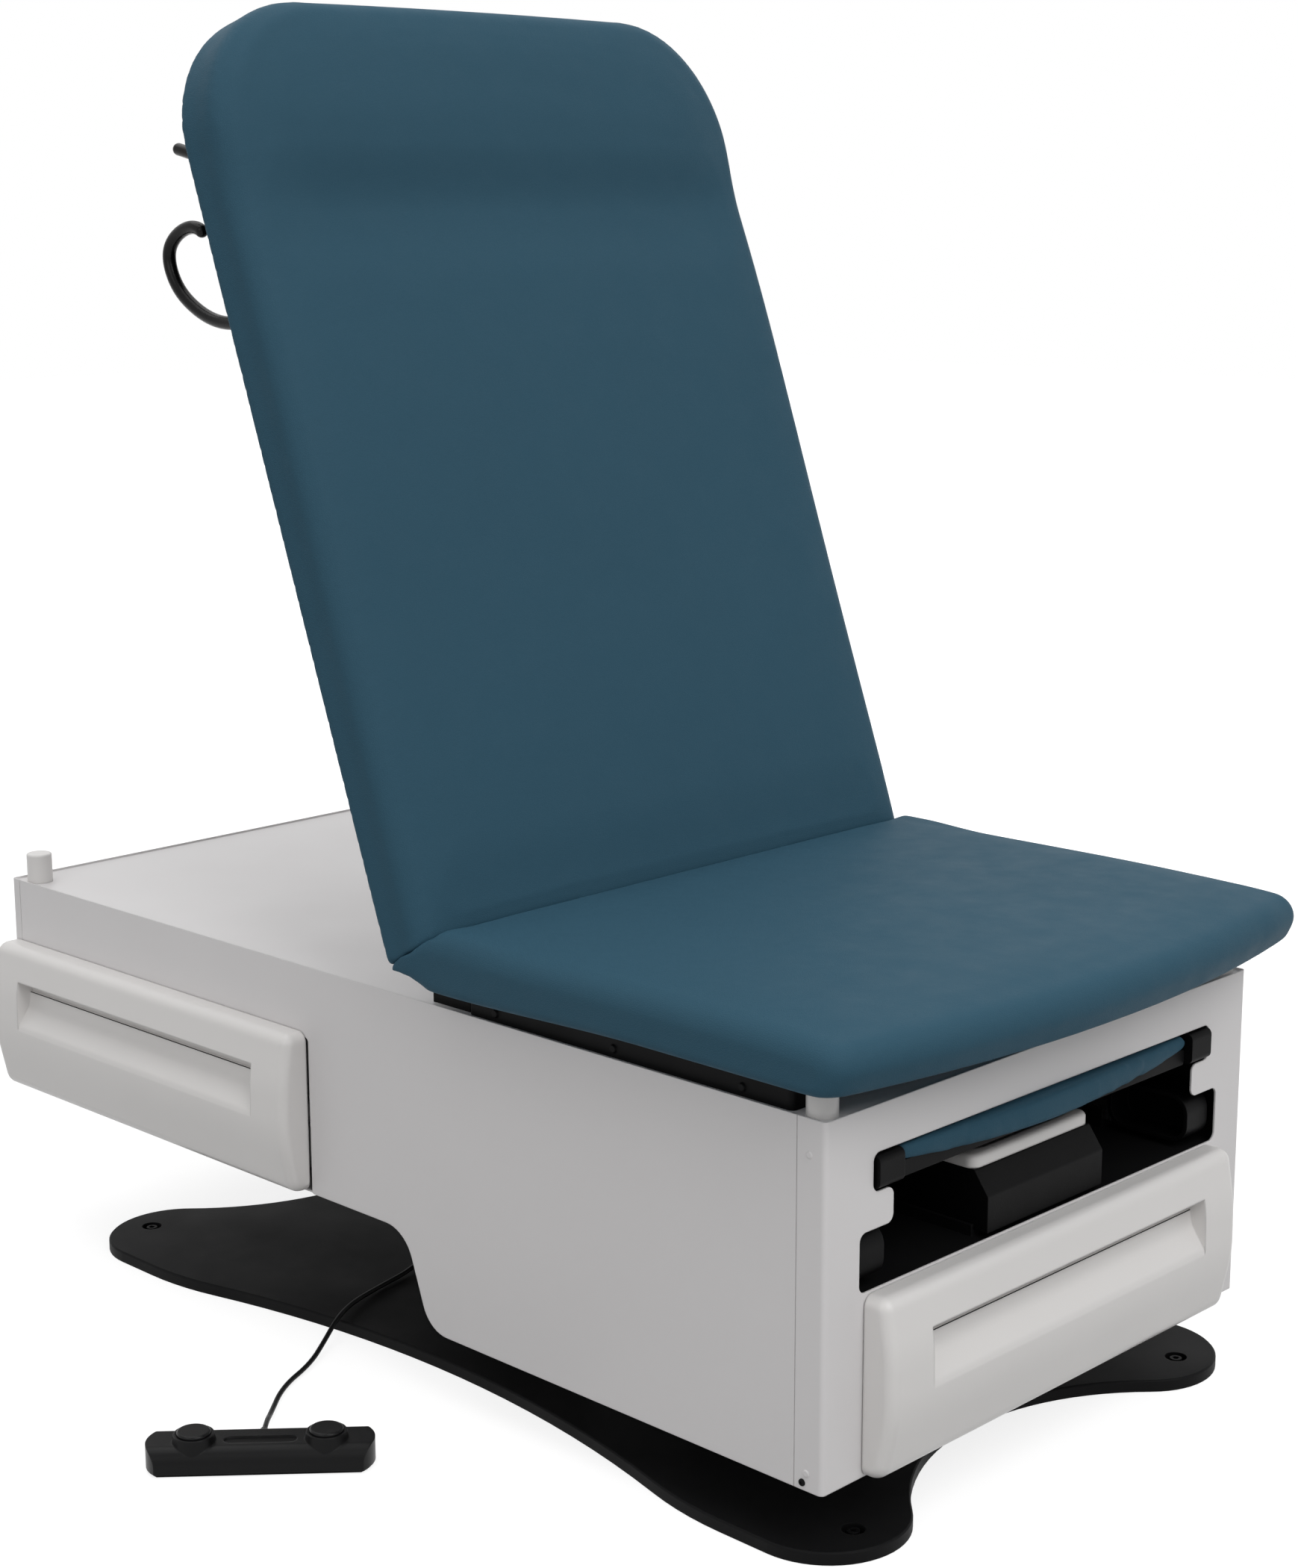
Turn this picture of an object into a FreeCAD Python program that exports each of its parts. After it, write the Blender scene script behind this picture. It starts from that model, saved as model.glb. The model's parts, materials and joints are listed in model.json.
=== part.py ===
import FreeCAD, Part
import math
import os

# Power examination table: a lifting column on a floor plate carries a chassis with
# a fixed seat cushion, a hinged back, drawers, a stowed leg rest, a pan and stirrups.
# Millimetres, +Z up, the foot end towards -Y, the origin on the floor under the plate's centre.

V = FreeCAD.Vector

# Floor plate
PLATE_T = 12.0
LOBE_X = 243.0
LOBE_Y = 480.0
LOBE_R = 78.0
LOBE_SIDE_Y = 424.0
BLEND_R = 356.0
WAIST_X = 264.0
PLATE_END_Y = 456.0
PLATE_EDGE = 1.5
HOLE_X = 252.0
HOLE_Y = 520.0
HOLE_R = 11.0
FOOT_R = 20.0
FOOT_T = 4.0
STUD_R = 6.0

# Lifting column
COL_Y = -135.0
COL_X_HALF = 130.0
COL_Y_HALF = 78.0
COL_WALL = 4.0
COL_GAP = 3.0
COL_CORNER = 14.0
FLANGE_T = 8.0
STAGE_STEP = 4.0
LIFT_TRAVEL = 483.0
HEAD_T = 8.0
GLIDE_CLEAR = 0.4
ACT_X = -20.0
ACT_R = 27.0
ACT_WALL = 4.0
ACT_GAP = 1.0
MOTOR_X = 62.0
MOTOR_R = 29.0
GEAR_TOP = 76.0

# Chassis
SHEET = 2.0
CH_HALF = 318.5
CH_FRONT = -540.0
CH_REAR = 667.0
CH_TOP = 405.0
RIM = 2.0
DECK_T = 2.5
BOX_BOTTOM = 72.5
REAR_BOTTOM = 168.0
STEP_Y0 = -36.0
STEP_Y1 = -2.0
STEP_R0 = 35.0
STEP_R1 = 40.0
SEAM = 0.5
FRONT_SEAM = CH_FRONT + 32.0
REAR_SEAM = CH_REAR - 15.0
BEND_R = 5.0
RAIL_W = 30.0
RAIL_H = 30.0
RAIL_IN = CH_HALF - RAIL_W - 18.5
BAR_T = 6.5
POST_R = 14.0
COL_TOP = CH_TOP - DECK_T - BAR_T - HEAD_T - 4 * STAGE_STEP

# Front opening and the stowed parts behind it
UP_HALF = CH_HALF - 62.5
UP_Z0 = 329.0
UP_Z1 = 364.5
TAB_HALF = UP_HALF - 27.5
LOW_HALF = UP_HALF + 17.0
LOW_Z0 = 242.0
LOW_Z1 = 296.5
OPEN_R = 8.0
SHELF_Z = LOW_Z0 - 6.0
SHELF_HALF = LOW_HALF + 15.0
SHELF_BACK = CH_FRONT + 314.0
SHELF_TOP = UP_Z1 + 5.5
STOW_CLEAR = 3.0
LEG_REST_BACK = SHELF_BACK - 14.0
LEG_OUT = UP_HALF - STOW_CLEAR
LEG_BAR_Z = UP_Z0 + 8.0
LEG_BAR_H = 12.0
LEG_CAP_W = 33.0
LEG_CAP_L = 45.0
LEG_TOP = UP_Z1 - 2.5
PAN_HALF = 88.0
PAN_Z = LOW_Z0 + 1.2
PAN_BACK = SHELF_BACK - 76.0
PAN_RIM_Z = LOW_Z0 + 58.0
PAN_LIP = 12.0
PAN_LIP_R = 10.0
SLED_LEAN_H = 22.0
SLED_LEAN_Y = 16.0
CUP_OUT = LOW_HALF - 5.0
CUP_W = 35.0
CUP_Z0 = LOW_Z0 + 2.5
CUP_Z1 = LOW_Z1 - 3.5
CUP_BACK = CH_FRONT + 99.0
STIRRUP_BAR = 22.0
STIRRUP_Z = LOW_Z0 + 4.0

# Drawers
FRONT_DRAWER_HALF = CH_HALF - 51.5
FRONT_DRAWER_Z = BOX_BOTTOM
HATCH_HALF = FRONT_DRAWER_HALF - 17.0
DRAWER_H = 168.0
SIDE_DRAWER_Y0 = 143.0
SIDE_DRAWER_Z = REAR_BOTTOM + 2.0
DRAWER_LOW = 20.0
DRAWER_TOP = 24.0
DRAWER_BULGE = 34.0
DRAWER_END_R = 11.0
DRAWER_OFF = 1.0
RECESS_HALF = 211.0
RECESS_W0 = 79.0
RECESS_W1 = 131.0
RECESS_DEPTH = 22.0
RECESS_STEP = 3.0
DRAWER_TRAVEL = 250.0
SLIDE_CLEAR = 0.4
DRAWER_BAR_IN = 2.0
RUNNER_T = 3.0
RUNNER_LIP = 16.0
FRONT_BAR_Z = FRONT_DRAWER_Z + 82.5
FRONT_BAR_H = 23.0
SIDE_BAR_Z = SIDE_DRAWER_Z + 69.0
SIDE_BAR_H = 20.0

# Cushions
PAD_HALF = 355.5
SEAT_BOTTOM = CH_TOP + 34.0
SEAT_EDGE_TOP = SEAT_BOTTOM + 49.0
SEAT_CROWN = 5.0
SEAT_FRONT = CH_FRONT - 65.0
SEAT_BOW_R = 2180.0
SEAT_CORNER_R = 28.0
HINGE_Y = -47.2
SEAT_PAN_HALF = CH_HALF - 7.5
SEAT_PAN_FRONT = CH_FRONT + 43.0
SEAT_PAN_REAR = HINGE_Y - 44.8
PAD_CORNER_R = 32.0
PAD_ROUND = 24.0
PAD_UNDER_ROUND = 8.0
PAD_NIP = 1.0
CREASE_ROUND = 12.0
PAD_END_ROUND = 4.0
SOFT_CLEAR = 0.3

# Back: s runs up the back from the hinge, h runs out of its front face
HINGE_Z = SEAT_BOTTOM + 17.0
BACK_ANGLE = 70.2
BACK_MIN = 0.0
BACK_MAX = BACK_ANGLE
BACK_FRONT_H = 38.0
BACK_CROWN = 12.0
LOW_CROWN = 4.0
BACK_REAR_H = -14.0
BACK_S0 = 12.0
BACK_S1 = 929.0
BACK_TOP_R = 143.0
BOARD_T = 4.0
BOARD_IN = 12.0
BACK_RAIL_W = 30.0
BACK_RAIL_IN = CH_HALF - BACK_RAIL_W - 26.5
BACK_RAIL_H = 20.0
BACK_RAIL_END = BACK_S1 - 289.0
ARM_T = 8.0
ARM_R = 9.0
PIN_R = 5.0
RUN_CLEAR = 0.05
FORK_T = 6.0
FORK_GAP = 0.5

# Gas spring under the seat, with a crank on the back frame
CRANK_X = 180.0
CRANK_R = 90.0
CRANK_T = 8.0
CRANK_PIN_R = 5.0
SLOT_CLEAR = 1.6
GAS_R = 10.0
GAS_ROD_R = 4.0

# Paper-roll hooks and pegs behind the back
HOOK_X = PAD_HALF - 18.5
HOOK_S = BACK_S1 - 301.0
HOOK_R = 6.5
HOOK_FOOT_CLEAR = 5.0
PEG_S = BACK_S1 - 137.0
PEG_R = 6.0
LEVER_S = BACK_S1 - 81.0

# Foot control
FC_X = -520.0
FC_Y = -26.0
FC_TURN = -42.9
FC_HALF = 96.5
FC_BULGE = 10.0
FC_DEPTH = 50.0
FC_H = 25.0
FC_BROW_R = 15.0
FC_BASE_T = 3.0
BUTTON_AT = 61.5
BUTTON_R = 16.0
COLLAR_R = 19.0
COLLAR_H = 8.0
BUTTON_FIT = 0.3
BUTTON_TRAVEL = 4.0

# Cord of the foot control
CORD_R = 2.5

# Control box on the floor plate
CB_X0 = -20.0
CB_X1 = 170.0
CB_Y0 = 150.0
CB_Y1 = 290.0
CB_H = 92.0
GLAND_Y = 235.0
GLAND_Z = 32.0
GLAND_L = 14.0


def box(x0, x1, y0, y1, z0, z1):
    return Part.makeBox(x1 - x0, y1 - y0, z1 - z0, V(x0, y0, z0))


def cyl(base, axis, radius, length):
    return Part.makeCylinder(radius, length, V(*base), V(*axis))


def at(plane, a, b, c):
    # a and b lie in the plane, c along its normal
    if plane == "xy":
        return V(a, b, c)
    if plane == "yz":
        return V(c, a, b)
    return V(a, c, b)


def rounded_edges(points, plane, c, closed=True):
    # Straight lines between points (a, b, r), each corner turned with its own radius
    n = len(points)
    starts = []
    ends = []
    mids = []
    for i in range(n):
        a, b, r = points[i]
        here = V(a, b, 0)
        if r <= 0 or (not closed and i in (0, n - 1)):
            starts.append(here)
            ends.append(here)
            mids.append(None)
            continue
        pa = points[i - 1]
        pb = points[(i + 1) % n]
        d0 = (V(pa[0], pa[1], 0) - here).normalize()
        d1 = (V(pb[0], pb[1], 0) - here).normalize()
        half = math.acos(max(-1.0, min(1.0, d0.dot(d1)))) / 2
        reach = r / math.tan(half)
        bis = (d0 + d1).normalize()
        starts.append(here + d0 * reach)
        ends.append(here + d1 * reach)
        mids.append(here + bis * (r / math.sin(half) - r))
    edges = []
    last = n if closed else n - 1
    for i in range(n):
        if mids[i] is not None:
            edges.append(Part.Arc(at(plane, starts[i].x, starts[i].y, c), at(plane, mids[i].x, mids[i].y, c),
                                  at(plane, ends[i].x, ends[i].y, c)).toShape())
        if i < last:
            j = (i + 1) % n
            p = at(plane, ends[i].x, ends[i].y, c)
            q = at(plane, starts[j].x, starts[j].y, c)
            if p.distanceToPoint(q) > 1e-6:
                edges.append(Part.makeLine(p, q))
    return edges


def prism(points, plane, c0, c1):
    wire = Part.Wire(rounded_edges(points, plane, c0))
    return Part.Face(wire).extrude(at(plane, 0, 0, c1 - c0))


def rect(a0, a1, b0, b1, r):
    return [(a0, b0, r), (a1, b0, r), (a1, b1, r), (a0, b1, r)]


def joined(shapes):
    first = shapes[0]
    if len(shapes) == 1:
        return first
    return first.multiFuse(shapes[1:]).removeSplitter()


def group(shapes):
    return Part.makeCompound(shapes)


def mirror_x(shape):
    return shape.mirror(V(0, 0, 0), V(1, 0, 0))


def bar_along(points, plane, c, radius):
    # A round bar bent along a path, with round ends
    wire = Part.Wire(rounded_edges(points, plane, c, False))
    first = wire.Edges[0]
    start = first.valueAt(first.FirstParameter)
    tangent = first.tangentAt(first.FirstParameter)
    ring = Part.Wire([Part.makeCircle(radius, start, tangent)])
    return wire.makePipeShell([ring], True, False)


def sheet_line(points, thick):
    # A bent sheet: the open line of points with radii, and the same line one thickness to its left
    n = len(points)
    offset = []
    for i in range(n):
        a, b, r = points[i]
        here = V(a, b, 0)
        normals = []
        if i > 0:
            d = (here - V(points[i - 1][0], points[i - 1][1], 0)).normalize()
            normals.append(V(-d.y, d.x, 0))
        if i < n - 1:
            d = (V(points[i + 1][0], points[i + 1][1], 0) - here).normalize()
            normals.append(V(-d.y, d.x, 0))
        if len(normals) == 1:
            moved = here + normals[0] * thick
            offset.append((moved.x, moved.y, 0))
        else:
            bis = (normals[0] + normals[1]).normalize()
            moved = here + bis * (thick / bis.dot(normals[0]))
            turn = normals[0].x * normals[1].y - normals[0].y * normals[1].x
            offset.append((moved.x, moved.y, r - thick if turn > 0 else r + thick))
    return points + offset[::-1]


def rounded_tube(x_half, y_half, wall, corner, z0, z1):
    outline = rect(-x_half, x_half, -y_half, y_half, corner)
    outer = prism([(x, y + COL_Y, r) for x, y, r in outline], "xy", z0, z1)
    bore = rect(wall - x_half, x_half - wall, wall - y_half, y_half - wall, corner - wall)
    inner = prism([(x, y + COL_Y, r) for x, y, r in bore], "xy", z0, z1)
    return outer.cut(inner)


NODES = {}


def keep(name, shape):
    NODES[name] = shape


# Floor plate: four lobes joined by hollow sides and ends, all arcs tangent
def plate_outline():
    e = LOBE_Y - PLATE_END_Y
    end_r = (LOBE_X ** 2 + e ** 2 - LOBE_R ** 2) / (2 * (LOBE_R + e))
    side_x = LOBE_X + LOBE_R
    k = side_x - WAIST_X
    reach = (k ** 2 + LOBE_SIDE_Y ** 2) / (2 * k)
    lobe = V(LOBE_X, LOBE_Y, 0)
    toward = (V(0, PLATE_END_Y + end_r, 0) - lobe).normalize()
    b = lobe + toward * LOBE_R
    angle_b = math.atan2(toward.y, toward.x)
    mid_lobe = lobe + V(math.cos(angle_b / 2), math.sin(angle_b / 2), 0) * LOBE_R
    blend = V(side_x - BLEND_R, LOBE_SIDE_Y, 0)
    fall = math.asin(LOBE_SIDE_Y / reach)
    tangent = blend + V(math.cos(fall), -math.sin(fall), 0) * BLEND_R
    mid_blend = blend + V(math.cos(fall / 2), -math.sin(fall / 2), 0) * BLEND_R

    def p(v, sx, sy):
        return V(sx * v.x, sy * v.y, 0)

    c = V(side_x, LOBE_Y, 0)
    d = V(side_x, LOBE_SIDE_Y, 0)
    edges = []
    for sy in (-1, 1):
        edges.append(Part.Arc(p(b, -1, sy), V(0, sy * PLATE_END_Y, 0), p(b, 1, sy)).toShape())
    for sx in (-1, 1):
        edges.append(Part.Arc(p(tangent, sx, -1), V(sx * WAIST_X, 0, 0), p(tangent, sx, 1)).toShape())
        for sy in (-1, 1):
            edges.append(Part.Arc(p(b, sx, sy), p(mid_lobe, sx, sy), p(c, sx, sy)).toShape())
            edges.append(Part.makeLine(p(c, sx, sy), p(d, sx, sy)))
            edges.append(Part.Arc(p(d, sx, sy), p(mid_blend, sx, sy), p(tangent, sx, sy)).toShape())
    return Part.Wire(Part.__sortEdges__(edges))


def base_plate():
    plate = Part.Face(plate_outline()).extrude(V(0, 0, PLATE_T))
    top = [e for e in plate.Edges if e.BoundBox.ZMin > PLATE_T - 0.01]
    plate = plate.makeChamfer(PLATE_EDGE, top)
    cuts = []
    for sx in (-1, 1):
        for sy in (-1, 1):
            cuts.append(cyl((sx * HOLE_X, sy * HOLE_Y, 0), (0, 0, 1), HOLE_R, PLATE_T))
            cuts.append(cyl((sx * HOLE_X, sy * HOLE_Y, 0), (0, 0, 1), FOOT_R + SOFT_CLEAR, FOOT_T))
    for cut in cuts:
        plate = plate.cut(cut)
    return plate


def levelling_feet():
    feet = []
    for sx in (-1, 1):
        for sy in (-1, 1):
            x = sx * HOLE_X
            y = sy * HOLE_Y
            stud_top = PLATE_T - 1.0
            foot = cyl((x, y, 0), (0, 0, 1), FOOT_R, FOOT_T).fuse(cyl((x, y, 0), (0, 0, 1), STUD_R, stud_top))
            hexagon = [(x + 3.4 * math.cos(math.radians(60 * i)), y + 3.4 * math.sin(math.radians(60 * i)), 0)
                       for i in range(6)]
            feet.append(foot.cut(prism(hexagon, "xy", stud_top - 4, stud_top)))
    return group(feet)


keep("base_plate", base_plate())
keep("levelling_feet", levelling_feet())

# Column: three nested tubes, the widest standing on the floor plate
FLANGE_TOP = PLATE_T + FLANGE_T


def column():
    fx = COL_X_HALF + 35
    fy = COL_Y_HALF + 34
    flange = prism([(x, y + COL_Y, r) for x, y, r in rect(-fx, fx, -fy, fy, 18)], "xy", PLATE_T, FLANGE_TOP)
    heads = []
    for sx in (-1, 1):
        for y in (22 - fy, 0, fy - 22):
            heads.append(cyl((sx * (fx - 17), COL_Y + y, FLANGE_TOP), (0, 0, 1), 8, 5))
    tube = rounded_tube(COL_X_HALF, COL_Y_HALF, COL_WALL, COL_CORNER, FLANGE_TOP, COL_TOP)
    keep("column_outer", joined([flange, tube] + heads))
    step = COL_WALL + COL_GAP
    mid = rounded_tube(COL_X_HALF - step, COL_Y_HALF - step, COL_WALL, COL_CORNER - step / 2,
                       FLANGE_TOP + STAGE_STEP, COL_TOP + STAGE_STEP)
    keep("column_middle", mid)
    inner_top = COL_TOP + 4 * STAGE_STEP
    inner = rounded_tube(COL_X_HALF - 2 * step, COL_Y_HALF - 2 * step, COL_WALL, COL_CORNER - step,
                         FLANGE_TOP + 2 * STAGE_STEP, inner_top)
    keep("column_inner", inner)
    fx = COL_X_HALF + 20
    fy = COL_Y_HALF + 17
    outline = [(x, y + COL_Y, r) for x, y, r in rect(-fx, fx, -fy, fy, 16)]
    head = prism(outline, "xy", inner_top, inner_top + HEAD_T)
    keep("column_head", head)
    for name, inset, top in (("column_outer_glides", COL_WALL, COL_TOP),
                             ("column_middle_glides", COL_WALL + step, COL_TOP + STAGE_STEP)):
        hx = COL_X_HALF - inset
        hy = COL_Y_HALF - inset
        t = COL_GAP - GLIDE_CLEAR
        pads = []
        for sx in (-1, 1):
            x0, x1 = sorted((sx * hx, sx * (hx - t)))
            pads.append(box(x0, x1, COL_Y - hy / 2, COL_Y + hy / 2, top - 70, top - 6))
            y0, y1 = sorted((COL_Y + sx * hy, COL_Y + sx * (hy - t)))
            pads.append(box(-hx / 2, hx / 2, y0, y1, top - 70, top - 6))
        keep(name, group(pads))
    return inner_top


HEAD_Z = column()


# Spindle drive inside the column
def drive():
    outline = [(x, y + COL_Y, r) for x, y, r in rect(ACT_X - 38, MOTOR_X + 36, -36, 36, 14)]
    gear = prism(outline, "xy", FLANGE_TOP, GEAR_TOP)
    can = cyl((MOTOR_X, COL_Y, GEAR_TOP), (0, 0, 1), MOTOR_R, 118)
    cap = cyl((MOTOR_X, COL_Y, GEAR_TOP + 118), (0, 0, 1), MOTOR_R - 6, 8)
    keep("lift_motor", joined([gear, can, cap]))

    def tube(r, wall, z0, z1):
        bore = cyl((ACT_X, COL_Y, z0), (0, 0, 1), r - wall, z1 - z0)
        return cyl((ACT_X, COL_Y, z0), (0, 0, 1), r, z1 - z0).cut(bore)

    step = ACT_WALL + ACT_GAP
    keep("actuator_tube", tube(ACT_R, ACT_WALL, GEAR_TOP, COL_TOP))
    keep("actuator_middle", tube(ACT_R - step, ACT_WALL, GEAR_TOP + STAGE_STEP, COL_TOP + STAGE_STEP))
    keep("actuator_rod", cyl((ACT_X, COL_Y, GEAR_TOP + 2 * STAGE_STEP), (0, 0, 1), ACT_R - 2 * step,
                             HEAD_Z - GEAR_TOP - 2 * STAGE_STEP))


drive()


# Control box with mains inlet and the gland of the foot control's cord
def control_box():
    body = prism(rect(CB_X0, CB_X1, CB_Y0, CB_Y1, 10), "xy", PLATE_T, PLATE_T + CB_H)
    top = [e for e in body.Edges if e.BoundBox.ZMin > PLATE_T + CB_H - 0.01]
    body = body.makeFillet(4, top)
    tabs = []
    for y in (CB_Y0 + 30, CB_Y1 - 30):
        tabs.append(prism(rect(CB_X1, CB_X1 + 20, y - 14, y + 14, 4), "xy", PLATE_T, PLATE_T + 3))
        tabs.append(cyl((CB_X1 + 11, y, PLATE_T + 3), (0, 0, 1), 5, 3.5))
    body = joined([body] + tabs)
    groove_z = PLATE_T + CB_H - 22
    ring = box(CB_X0 - 1, CB_X1 + 1, CB_Y0 - 1, CB_Y1 + 1, groove_z, groove_z + 2)
    keep_core = prism(rect(CB_X0 + 1, CB_X1 - 1, CB_Y0 + 1, CB_Y1 - 1, 9), "xy", groove_z, groove_z + 2)
    body = body.cut(ring.cut(keep_core))
    for i in range(5):
        x = CB_X0 + 95 + 14 * i
        body = body.cut(prism(rect(x, x + 6, PLATE_T + 18, PLATE_T + 56, 3), "xz", CB_Y0 - 1, CB_Y0 + 4))
    x_in = (CB_X0 + CB_X1) / 2
    seat_pts = rect(x_in - 30, x_in + 30, PLATE_T + 20, PLATE_T + 52, 4)
    body = body.cut(prism(seat_pts, "xz", CB_Y1 - 14, CB_Y1))
    inlet = prism(seat_pts, "xz", CB_Y1 - 14, CB_Y1 + 3)
    well = prism([(x_in - 13, PLATE_T + 26, 2), (x_in + 13, PLATE_T + 26, 2), (x_in + 13, PLATE_T + 40, 2),
                  (x_in + 8, PLATE_T + 45, 2), (x_in - 8, PLATE_T + 45, 2), (x_in - 13, PLATE_T + 40, 2)],
                 "xz", CB_Y1 - 10, CB_Y1 + 3)
    inlet = inlet.cut(well)
    keep("control_box", body)
    keep("power_inlet", inlet)
    gland = joined([cyl((CB_X0 - GLAND_L, GLAND_Y, GLAND_Z), (1, 0, 0), 5.5, GLAND_L),
                    cyl((CB_X0 - 5, GLAND_Y, GLAND_Z), (1, 0, 0), 8.5, 5)])
    keep("cord_gland", gland)


control_box()


# Foot control, drawn along X about its own centre and then turned on the floor
def place_foot(shape):
    moved = shape.copy()
    moved.rotate(V(0, 0, 0), V(0, 0, 1), FC_TURN)
    moved.translate(V(FC_X, FC_Y, 0))
    return moved


def foot_outline(inset, z):
    d = FC_DEPTH / 2 - inset
    x = FC_HALF - inset
    bulge = FC_HALF + FC_BULGE - inset
    edges = [Part.makeLine(V(-x, -d, z), V(x, -d, z)),
             Part.Arc(V(x, -d, z), V(bulge, 0, z), V(x, d, z)).toShape(),
             Part.makeLine(V(x, d, z), V(-x, d, z)),
             Part.Arc(V(-x, d, z), V(-bulge, 0, z), V(-x, -d, z)).toShape()]
    return Part.Face(Part.Wire(edges))


def foot_control():
    base = foot_outline(2.5, 0).extrude(V(0, 0, FC_BASE_T))
    body = foot_outline(0, FC_BASE_T).extrude(V(0, 0, FC_H - FC_BASE_T))
    brow = []
    heel = []
    for e in body.Edges:
        b = e.BoundBox
        if b.ZMin > FC_H - 0.01 and b.YLength < 0.01:
            (brow if b.YMax < 0 else heel).append(e)
    body = body.makeFillet(FC_BROW_R, brow)
    heel = [e for e in body.Edges if e.BoundBox.ZMin > FC_H - 0.01 and e.BoundBox.YMin > FC_DEPTH / 2 - 0.01]
    body = body.makeFillet(4, heel)
    posts = []
    for s in (-1, 1):
        x = s * BUTTON_AT
        collar = Part.makeCone(COLLAR_R + 4, COLLAR_R, COLLAR_H + 9.5, V(x, 0, FC_H - 10), V(0, 0, 1))
        body = body.fuse(collar)
    for s in (-1, 1):
        x = s * BUTTON_AT
        body = body.cut(cyl((x, 0, FC_BASE_T), (0, 0, 1), BUTTON_R + BUTTON_FIT, FC_H + COLLAR_H))
        posts.append(cyl((x, 0, FC_BASE_T), (0, 0, 1), 6, 10))
        button = cyl((x, 0, FC_BASE_T + 15), (0, 0, 1), BUTTON_R, FC_H + COLLAR_H - FC_BASE_T - 12.5)
        crown = [e for e in button.Edges if e.BoundBox.ZMin > FC_H + COLLAR_H]
        button = button.makeFillet(2.2, crown)
        keep("foot_button_up" if s > 0 else "foot_button_down", place_foot(button))
    body = body.cut(prism(rect(-34, 34, -7, 7, 6.9), "xy", FC_H - 1.6, FC_H + 1))
    relief = Part.makeCone(5.5, 4.0, 12.5, V(0, FC_DEPTH / 2 - 0.5, 16), V(0, 1, 0))
    body = body.fuse(relief).removeSplitter()
    keep("foot_control_housing", place_foot(body))
    keep("foot_control_base", place_foot(joined([base] + posts)))


foot_control()


# Cord: straight runs joined by tangent arcs, from the foot control's relief to the gland
def cord_route():
    c = math.cos(math.radians(FC_TURN))
    s = math.sin(math.radians(FC_TURN))

    def out(v, z):
        return V(FC_X - s * v, FC_Y + c * v, z)

    back = FC_DEPTH / 2 + 12.0
    end = V(CB_X0 - GLAND_L, GLAND_Y, GLAND_Z)
    floor_z = CORD_R + 0.4
    over = PLATE_T + CORD_R + 3.2
    on = PLATE_T + CORD_R + 0.4
    return [out(back, 16), out(back + 26, 13.5), out(back + 62, floor_z + 0.5), V(-405, 88, floor_z),
            V(-351, 111, floor_z + 0.3), V(-312, 136, 8.5), V(-282, 153, over), V(-244, 175, over - 0.4),
            V(-190, 192, on), V(-138, 202, on + 0.5), V(-98, 219, 21.0), V(-66, 231.5, 29.0), end]


def cord():
    points = cord_route()
    edges = []
    pen = points[0]
    total = 0.0
    radii = []
    for i in range(1, len(points) - 1):
        here = points[i]
        d0 = (points[i - 1] - here)
        d1 = (points[i + 1] - here)
        shorter = min(d0.Length, d1.Length)
        u0 = V(d0).normalize()
        u1 = V(d1).normalize()
        half_open = math.acos(max(-1.0, min(1.0, u0.dot(u1)))) / 2
        reach = 0.45 * shorter
        radius = reach * math.tan(half_open)
        radii.append(radius)
        start = here + u0 * reach
        end = here + u1 * reach
        bis = (u0 + u1).normalize()
        mid = here + bis * (radius / math.sin(half_open) - radius)
        edges.append(Part.makeLine(pen, start))
        edges.append(Part.Arc(start, mid, end).toShape())
        pen = end
    edges.append(Part.makeLine(pen, points[-1]))
    total = sum(e.Length for e in edges)
    wire = Part.Wire(edges)
    ring = Part.Wire([Part.makeCircle(CORD_R, points[0], points[1] - points[0])])
    tube = wire.makePipeShell([ring], True, False)
    print("cord length %.1f, radii %s" % (total, ", ".join("%.0f" % r for r in radii)))
    print("cord volume against section times length %.4f" % (tube.Volume / (math.pi * CORD_R ** 2 * total)))
    return tube


keep("foot_control_cord", cord())


# Chassis: inner frame, bent underside skin, side, front and rear panels, deck
DECK_UNDER = CH_TOP - DECK_T
IN_HALF = CH_HALF - SHEET
IN_FRONT = CH_FRONT + SHEET
IN_REAR = CH_REAR - SHEET
GAS_Z = HINGE_Z - CRANK_R * (1 + math.cos(math.radians((BACK_MAX - BACK_MIN) / 2))) / 2
GAS_Y0 = CH_FRONT + 40.0
GAS_Y1 = HINGE_Y - 214.8
SLOT_Y0 = HINGE_Y - 0.7 * CRANK_R
SLOT_Y1 = HINGE_Y + 0.77 * CRANK_R


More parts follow.
